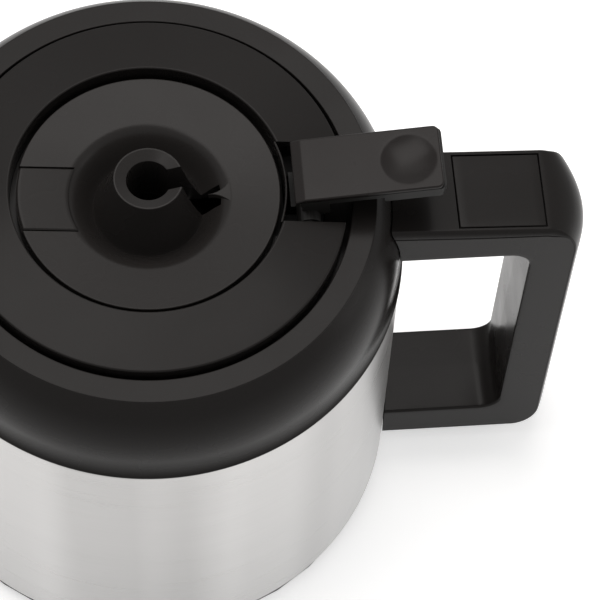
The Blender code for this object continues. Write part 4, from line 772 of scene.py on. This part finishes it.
def cap_skins():
    """Upper and lower skin of the cap, lying flat: a plate with two rounded corners and a spherical dimple.

    The edges drop as edge - root(edge^2 - overlap^2), the inner end is chamfered, and the dimple's depth is
    blended out as (h + root(h^2 + a small length^2)) / 2.
    """
    u = stations(0, LEVER_LENGTH, LEVER_EDGE, 0.24 * MM)[:, None]
    past = np.clip(u - (LEVER_LENGTH - LEVER_CORNER), 0, LEVER_CORNER)
    side_y = LEVER_HALF - LEVER_CORNER + np.sqrt(LEVER_CORNER ** 2 - past ** 2)
    y = side_y * stations(-LEVER_HALF, LEVER_HALF, LEVER_EDGE, 0.24 * MM)[None] / LEVER_HALF
    x = u + 0 * y
    corner_x = np.clip(x - (LEVER_LENGTH - LEVER_CORNER), 0, None)
    corner_y = np.clip(np.abs(y) - (LEVER_HALF - LEVER_CORNER), 0, None)
    to_edge = np.minimum(LEVER_CORNER - np.hypot(corner_x, corner_y), np.minimum(x, LEVER_HALF - np.abs(y)))
    over = np.clip(LEVER_EDGE - to_edge, 0, LEVER_EDGE)
    drop = LEVER_EDGE - np.sqrt(LEVER_EDGE ** 2 - over ** 2)
    drop += CHAMFER_DROP * np.clip(1 - x / CHAMFER_RUN, 0, 1)
    ball = (THUMB_R ** 2 + THUMB_DEPTH ** 2) / (2 * THUMB_DEPTH)
    rho = np.hypot(x - THUMB_AT, y)
    hollow = THUMB_DEPTH - ball + np.sqrt(np.clip(ball ** 2 - rho ** 2, 0, None))
    drop += (hollow + np.hypot(hollow, 0.10 * MM)) / 2
    low = -LEVER_CAP - (BOSS_DEPTH - LEVER_CAP) * (rho < BOSS_R)
    return np.stack([x, y, -drop], -1), np.stack([x, y, np.minimum(low, -drop - 0.25 * MM)], -1)


cap_place = Matrix.Translation((LEVER_IN_X, 0, RIM_Z + LEVER_RISE)) @ Matrix.Rotation(-LEVER_TILT, 4, "Y")
cap = slab("lever_cap_moulding", *cap_skins(), lever_plastic)
cap.data.transform(cap_place)
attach(cap, "lever")
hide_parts("lever_cap")
# The carrier is painted a black darker than the cap's: painted shade under the cap and in the pocket.
dress("lever_arm", moulded("moulded_polypropylene_carrier_black_painted_shade", "#100f0e", 0.5, gloss=0.2))


# ------------------------ handle
# Closed loop of black polypropylene, screwed to the collar above and slid over a steel bracket below.  Its
# outer edges are broad and end in a fine groove along the sides, its window's edges are tight, and the
# window's faces meet in a faint parting ridge.
PANEL_X, PANEL_LENGTH, PANEL_HALF = LIP_R + 12.6 * MM, 23.0 * MM, 10.8 * MM
GRIP_X = LIP_R + 47.08 * MM
HANDLE_HALF = 12.55 * MM
HANDLE_TOP_Z, TOP_FALL = RIM_Z - 6.0 * MM, math.radians(3.3)
BAR_UNDER_Z = RIM_Z - 19.4 * MM
INNER_X = GRIP_X - 14.7 * MM
FOOT_TOP_Z, FOOT_LOW_Z = 18.5 * MM, 6.0 * MM
CORNER_TOP, CORNER_LOW, WINDOW_CORNER = 11.5 * MM, 9.5 * MM, 5.8 * MM
CROWN = 3.2 * MM
EDGE_ACROSS, EDGE_DOWN = 1.2 * MM, 2.3 * MM
GROOVE = 0.45 * MM
EDGE_LEAST = 0.25          # what is left of the edge and its groove down the grip
WINDOW_EDGE = 0.75 * MM
RIDGE, RIDGE_Y = 0.3 * MM, 1.0 * MM
RECESS = 2.3 * MM
ROOT_GAP = 0.3 * MM


def handle_section():
    """One turn round the handle: y, share of the thickness from window to outer face, and offset.

    The near side climbs from the tight window edge to the groove and the broad quarter-ellipse edge, and the
    far side is its mirror image.  The window's face rises to the ridge in two straight flanks.
    """
    turn = np.linspace(0, math.pi / 2, 9)
    side = np.linspace(0, 1, 10)[1:-1]
    lip = EDGE_DOWN + GROOVE
    groove_y = np.array([0.0, 0.25, 1.0, 1.0]) * GROOVE
    groove_n = lip - np.array([0.0, 0.15, 0.45, 0.75]) * GROOVE
    broad_y = 0.12 * MM + EDGE_ACROSS * (1 - np.cos(turn))
    near_y = np.concatenate([WINDOW_EDGE * (1 - np.sin(turn)), 0 * side, groove_y, broad_y]) - HANDLE_HALF
    near_share = np.concatenate([0 * turn, side, 0 * groove_y + 1, 0 * turn + 1])
    near_off = np.concatenate([WINDOW_EDGE * (1 - np.cos(turn)), WINDOW_EDGE - side * (WINDOW_EDGE + lip),
                               -groove_n, -EDGE_DOWN * (1 - np.sin(turn))])
    inside_edge, seam = PANEL_HALF - 0.01 * MM, 0.02 * MM
    face_y = np.linspace(-inside_edge, inside_edge, 31)
    face_y = np.concatenate([face_y[:1] - seam, face_y, face_y[-1:] + seam])
    flat_half = HANDLE_HALF - WINDOW_EDGE
    window_y = np.linspace(flat_half, -flat_half, 24)[1:-1]
    window_y = -np.sort(-np.append(window_y, RIDGE_Y))
    flank_y = np.where(window_y > RIDGE_Y, flat_half - RIDGE_Y, flat_half + RIDGE_Y)
    window_off = -RIDGE * (1 - np.abs(window_y - RIDGE_Y) / flank_y)
    y = np.concatenate([near_y, face_y, -near_y[::-1], window_y])
    share = np.concatenate([near_share, 0 * face_y + 1, near_share[::-1], 0 * window_y])
    off = np.concatenate([near_off, 0 * face_y, near_off[::-1], window_off])
    return y, share, off


def top_z(x):
    """Height of the handle's upper face, which falls evenly from the collar."""
    return HANDLE_TOP_Z - (x - PANEL_X) * math.tan(TOP_FALL)


def root_at(y, z):
    """Where the handle meets the vessel: x of the collar's flank, or of the wall below it, plus a gap."""
    steel = FOOT_R + (LIP_R - FOOT_R) * (z - FOOT_Z) / (LIP_Z - FOOT_Z)
    vessel = np.where(z > COLLAR_LOW_Z, np.interp(-z, -flank[:, 1], flank[:, 0]), steel)
    return np.sqrt((vessel + ROOT_GAP) ** 2 - y ** 2)


def quarter(centre, radius, start):
    """Points of a quarter circle in the XZ plane, clockwise from the start angle in degrees."""
    angle = np.radians(start) - np.linspace(0, math.pi / 2, 26)
    return np.column_stack([centre[0] + radius * np.cos(angle), centre[1] + radius * np.sin(angle)])


FAR_CORNER_X = GRIP_X - CORNER_TOP
panel_end = PANEL_X + PANEL_LENGTH * math.cos(TOP_FALL)
panel_share = np.concatenate([[0, 0.001], np.linspace(0.03, 0.97, 16), [0.999, 1.0]])


def handle_lines():
    """Outer and window side of the loop in XZ, point for point, from the bar down the grip to the foot."""
    window_x, corner_z = INNER_X - WINDOW_CORNER, top_z(FAR_CORNER_X) - CORNER_TOP
    high_z, low_z = BAR_UNDER_Z - WINDOW_CORNER, FOOT_TOP_Z + WINDOW_CORNER
    bar_x = PANEL_X + (panel_end - PANEL_X) * panel_share
    under_x = PANEL_X + (window_x - PANEL_X) * panel_share
    outer = [np.column_stack([bar_x, top_z(bar_x)]),
             quarter((FAR_CORNER_X, corner_z), CORNER_TOP, 90),
             np.linspace((GRIP_X, corner_z), (GRIP_X, FOOT_LOW_Z + CORNER_LOW), 32)[1:-1],
             quarter((GRIP_X - CORNER_LOW, FOOT_LOW_Z + CORNER_LOW), CORNER_LOW, 0)]
    window = [np.column_stack([under_x, 0 * under_x + BAR_UNDER_Z]),
              quarter((window_x, high_z), WINDOW_CORNER, 90),
              np.linspace((INNER_X, high_z), (INNER_X, low_z), 32)[1:-1],
              quarter((window_x, low_z), WINDOW_CORNER, 0)]
    return np.vstack(outer)[:, None], np.vstack(window)[:, None]


def handle_surface():
    """The section carried along the loop, then on at both ends to the vessel.

    The broad edge and its groove fade down the grip as 3 t^2 - 2 t^3, the panel's recess is let into the
    upper face, and the far corner is crowned as y squared.
    """
    outer, window = handle_lines()
    y, share, off = handle_section()
    thick = np.linalg.norm(outer - window, axis=-1)
    down_grip = np.clip((FAR_CORNER_X + 0.75 * CORNER_TOP - outer[..., 0]) / (0.45 * CORNER_TOP), 0, 1)
    down_grip = np.where(outer[..., 1] < FOOT_LOW_Z + 2 * CORNER_LOW, 0, down_grip)
    left = EDGE_LEAST + (1 - EDGE_LEAST) * down_grip ** 2 * (3 - 2 * down_grip)
    on_edge = (share == 1) & (np.abs(y) > PANEL_HALF + 0.1 * MM)
    on_side = (share > 0) & (share < 1)
    off_here = np.where(on_edge, off * left, off)
    off_here = np.where(on_side, off + share * (EDGE_DOWN + GROOVE) * (1 - left), off_here)
    loop = window + (outer - window) * ((share * thick + off_here) / thick)[..., None]
    upper_root = root_at(y, BAR_UNDER_Z + share * (top_z(LIP_R) - BAR_UNDER_Z) + off)
    upper_x = upper_root + (loop[0, :, 0] - upper_root) * np.linspace(0, 1, 16)[:-1, None]
    upper_bar = np.stack([upper_x, BAR_UNDER_Z + share * (top_z(upper_x) - BAR_UNDER_Z) + off], -1)
    low_x, low_z = loop[-1].T
    lower_x = low_x + (root_at(y, low_z) - low_x) * np.linspace(0, 1, 26)[1:, None]
    lower_bar = np.stack([lower_x, np.tile(low_z, (len(lower_x), 1))], -1)
    run = np.concatenate([upper_bar, loop, lower_bar])
    left = np.concatenate([np.ones((len(upper_bar), 1)), left, np.full((len(lower_bar), 1), EDGE_LEAST)])
    side_y = np.sign(y) * HANDLE_HALF
    points = np.stack([run[..., 0], np.where(on_edge, side_y + (y - side_y) * left, y), run[..., 1]], -1)
    on_face = (share == 1) & (off == 0) & (np.abs(y) < PANEL_HALF)
    on_panel = np.zeros(len(run), bool)
    on_panel[len(upper_bar) + 1:len(upper_bar) + len(panel_share) - 1] = True
    points[..., 2] -= RECESS * (on_panel[:, None] & on_face)
    outside_corner = np.clip((points[..., 0] - FAR_CORNER_X) / CORNER_TOP, 0, 1)
    points[..., 0] -= CROWN * outside_corner * (points[..., 1] / HANDLE_HALF) ** 2
    return points


handle_grid = handle_surface()
rows, cols = handle_grid.shape[:2]
ends = [list(range(cols)), list(range(rows * cols - 1, (rows - 1) * cols - 1, -1))]
handle_faces = band(rows, cols, loop=False) + ends
handle = closed_mesh("handle_moulding", handle_grid.reshape(-1, 3), handle_faces, black)
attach(handle, "carafe")
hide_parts("handle_body")

# The panel is a flat cover of the same plastic, flush in its recess with a dark seam all round.
PANEL_SEAM, PANEL_THICK = 0.35 * MM, 2.0 * MM
panel = block("handle_panel_moulding", (PANEL_SEAM, PANEL_SEAM - PANEL_HALF, -PANEL_THICK),
              (PANEL_LENGTH - PANEL_SEAM, PANEL_HALF - PANEL_SEAM, 0), black, 0.25 * MM)
panel.data.transform(Matrix.Translation((PANEL_X, 0, HANDLE_TOP_Z)) @ Matrix.Rotation(TOP_FALL, 4, "Y"))
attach(panel, "carafe")
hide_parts("handle_panel")

# Bright zinc plating: the screws and the bracket shine in the handle's shade.
plated_steel = brushed_steel("bright_zinc_plated_steel", "#c6c6c4", 0.24, 0.9, 0.05)
for node in ("handle_top_screw", "handle_foot_screw", "handle_bracket"):
    dress(node, plated_steel)


# ------------------------ studio
# The camera stands above and in front of the near side, with the handle to the right, and has a long lens.
# One soft box is overhead, one beyond the far side and a tall one to the right.  The floor is white paper.
CAMERA_PLACE = Vector((-29.4, -418.4, 878.3)) * MM
CAMERA_YAW, CAMERA_DOWN, CAMERA_ROLL = math.radians(-9.58), math.radians(62.43), math.radians(5.47)
LENS_MM = 204.2


def camera_axes(yaw, down, roll):
    """Right, up and back of a camera that looks along +Y, turned by yaw, pitched down, then rolled."""
    ahead = Vector((0, math.cos(down), -math.sin(down)))
    up = Vector((0, math.sin(down), math.cos(down)))
    right = Vector((1, 0, 0))
    turned_right = math.cos(roll) * right + math.sin(roll) * up
    turned_up = -math.sin(roll) * right + math.cos(roll) * up
    swing = Matrix.Rotation(yaw, 3, "Z")
    return swing @ turned_right, swing @ turned_up, -(swing @ ahead)


lens = bpy.data.cameras.new("camera")
lens.lens, lens.sensor_width = LENS_MM, 36.0
lens.clip_start, lens.clip_end = 0.01, 20.0
camera = bpy.data.objects.new("camera", lens)
bpy.context.scene.collection.objects.link(camera)
camera.matrix_world = Matrix(camera_axes(CAMERA_YAW, CAMERA_DOWN, CAMERA_ROLL)).transposed().to_4x4()
camera.matrix_world.translation = CAMERA_PLACE
bpy.context.scene.camera = camera

LAMP_COLOUR = (1.0, 0.965, 0.94)


def soft_box(name, place, target, size, power):
    """A white rectangular area lamp at a place, facing a target."""
    lamp = bpy.data.lights.new(name, "AREA")
    lamp.shape = "RECTANGLE"
    lamp.size, lamp.size_y = size
    lamp.energy = power
    lamp.color = LAMP_COLOUR
    made = bpy.data.objects.new(name, lamp)
    bpy.context.scene.collection.objects.link(made)
    made.location = place
    made.rotation_euler = (Vector(target) - Vector(place)).to_track_quat("-Z", "Y").to_euler()


soft_box("overhead_box", (-0.10, 0.25, 1.10), (0, 0, 0.1), (0.9, 0.6), 6.4)
soft_box("far_box", (-0.05, 0.80, 1.00), (0, 0, 0.1), (0.9, 0.35), 1.1)
soft_box("side_box", (0.95, -0.15, 0.45), (0, 0, 0.08), (0.35, 0.9), 1.0)



def seen_directly(tree):
    """A value of 1 for camera, transmission and glossy rays, and 0 for the rays that light things."""
    ray = add(tree, "ShaderNodeLightPath").outputs
    through = add(tree, "ShaderNodeMath", {0: ray["Is Camera Ray"], 1: ray["Is Transmission Ray"]},
                  operation="MAXIMUM")
    return add(tree, "ShaderNodeMath", {0: through.outputs[0], 1: ray["Is Glossy Ray"]},
               operation="MAXIMUM").outputs[0]


# White where it is seen or mirrored, and less than half as strong as a source of light.
world = bpy.data.worlds.new("studio")
bpy.context.scene.world = world
tree = emptied(world)
level = add(tree, "ShaderNodeMapRange", {"Value": seen_directly(tree)}, To_Min=0.42, To_Max=1.0)
white = add(tree, "ShaderNodeBackground", {"Strength": level.outputs[0]}, Color=(1.0, 1.0, 1.0, 1.0))
add(tree, "ShaderNodeOutputWorld", {"Surface": white.outputs[0]})

# Matt white paper, lifted by a glow where it is seen or mirrored, so that it stays white behind the carafe.
paper = bpy.data.materials.new("white_sweep_paper")
tree = emptied(paper)
matt = add(tree, "ShaderNodeBsdfDiffuse", Color=linear("#f4f4f4"))
glow = add(tree, "ShaderNodeEmission", Color=(1.0, 1.0, 1.0, 1.0), Strength=0.50)
lifted = add(tree, "ShaderNodeAddShader", {0: matt.outputs[0], 1: glow.outputs[0]})
shown = add(tree, "ShaderNodeMixShader", {0: seen_directly(tree), 1: matt.outputs[0], 2: lifted.outputs[0]})
add(tree, "ShaderNodeOutputMaterial", {"Surface": shown.outputs[0]})
sheet = bpy.data.meshes.new("sweep")
sheet.from_pydata([(-3, -3, 0), (3, -3, 0), (3, 3, 0), (-3, 3, 0)], [], [(0, 1, 2, 3)])
sheet.materials.append(paper)
ground = bpy.data.objects.new("sweep", sheet)
bpy.context.scene.collection.objects.link(ground)

bpy.context.scene.view_settings.view_transform = "Standard"
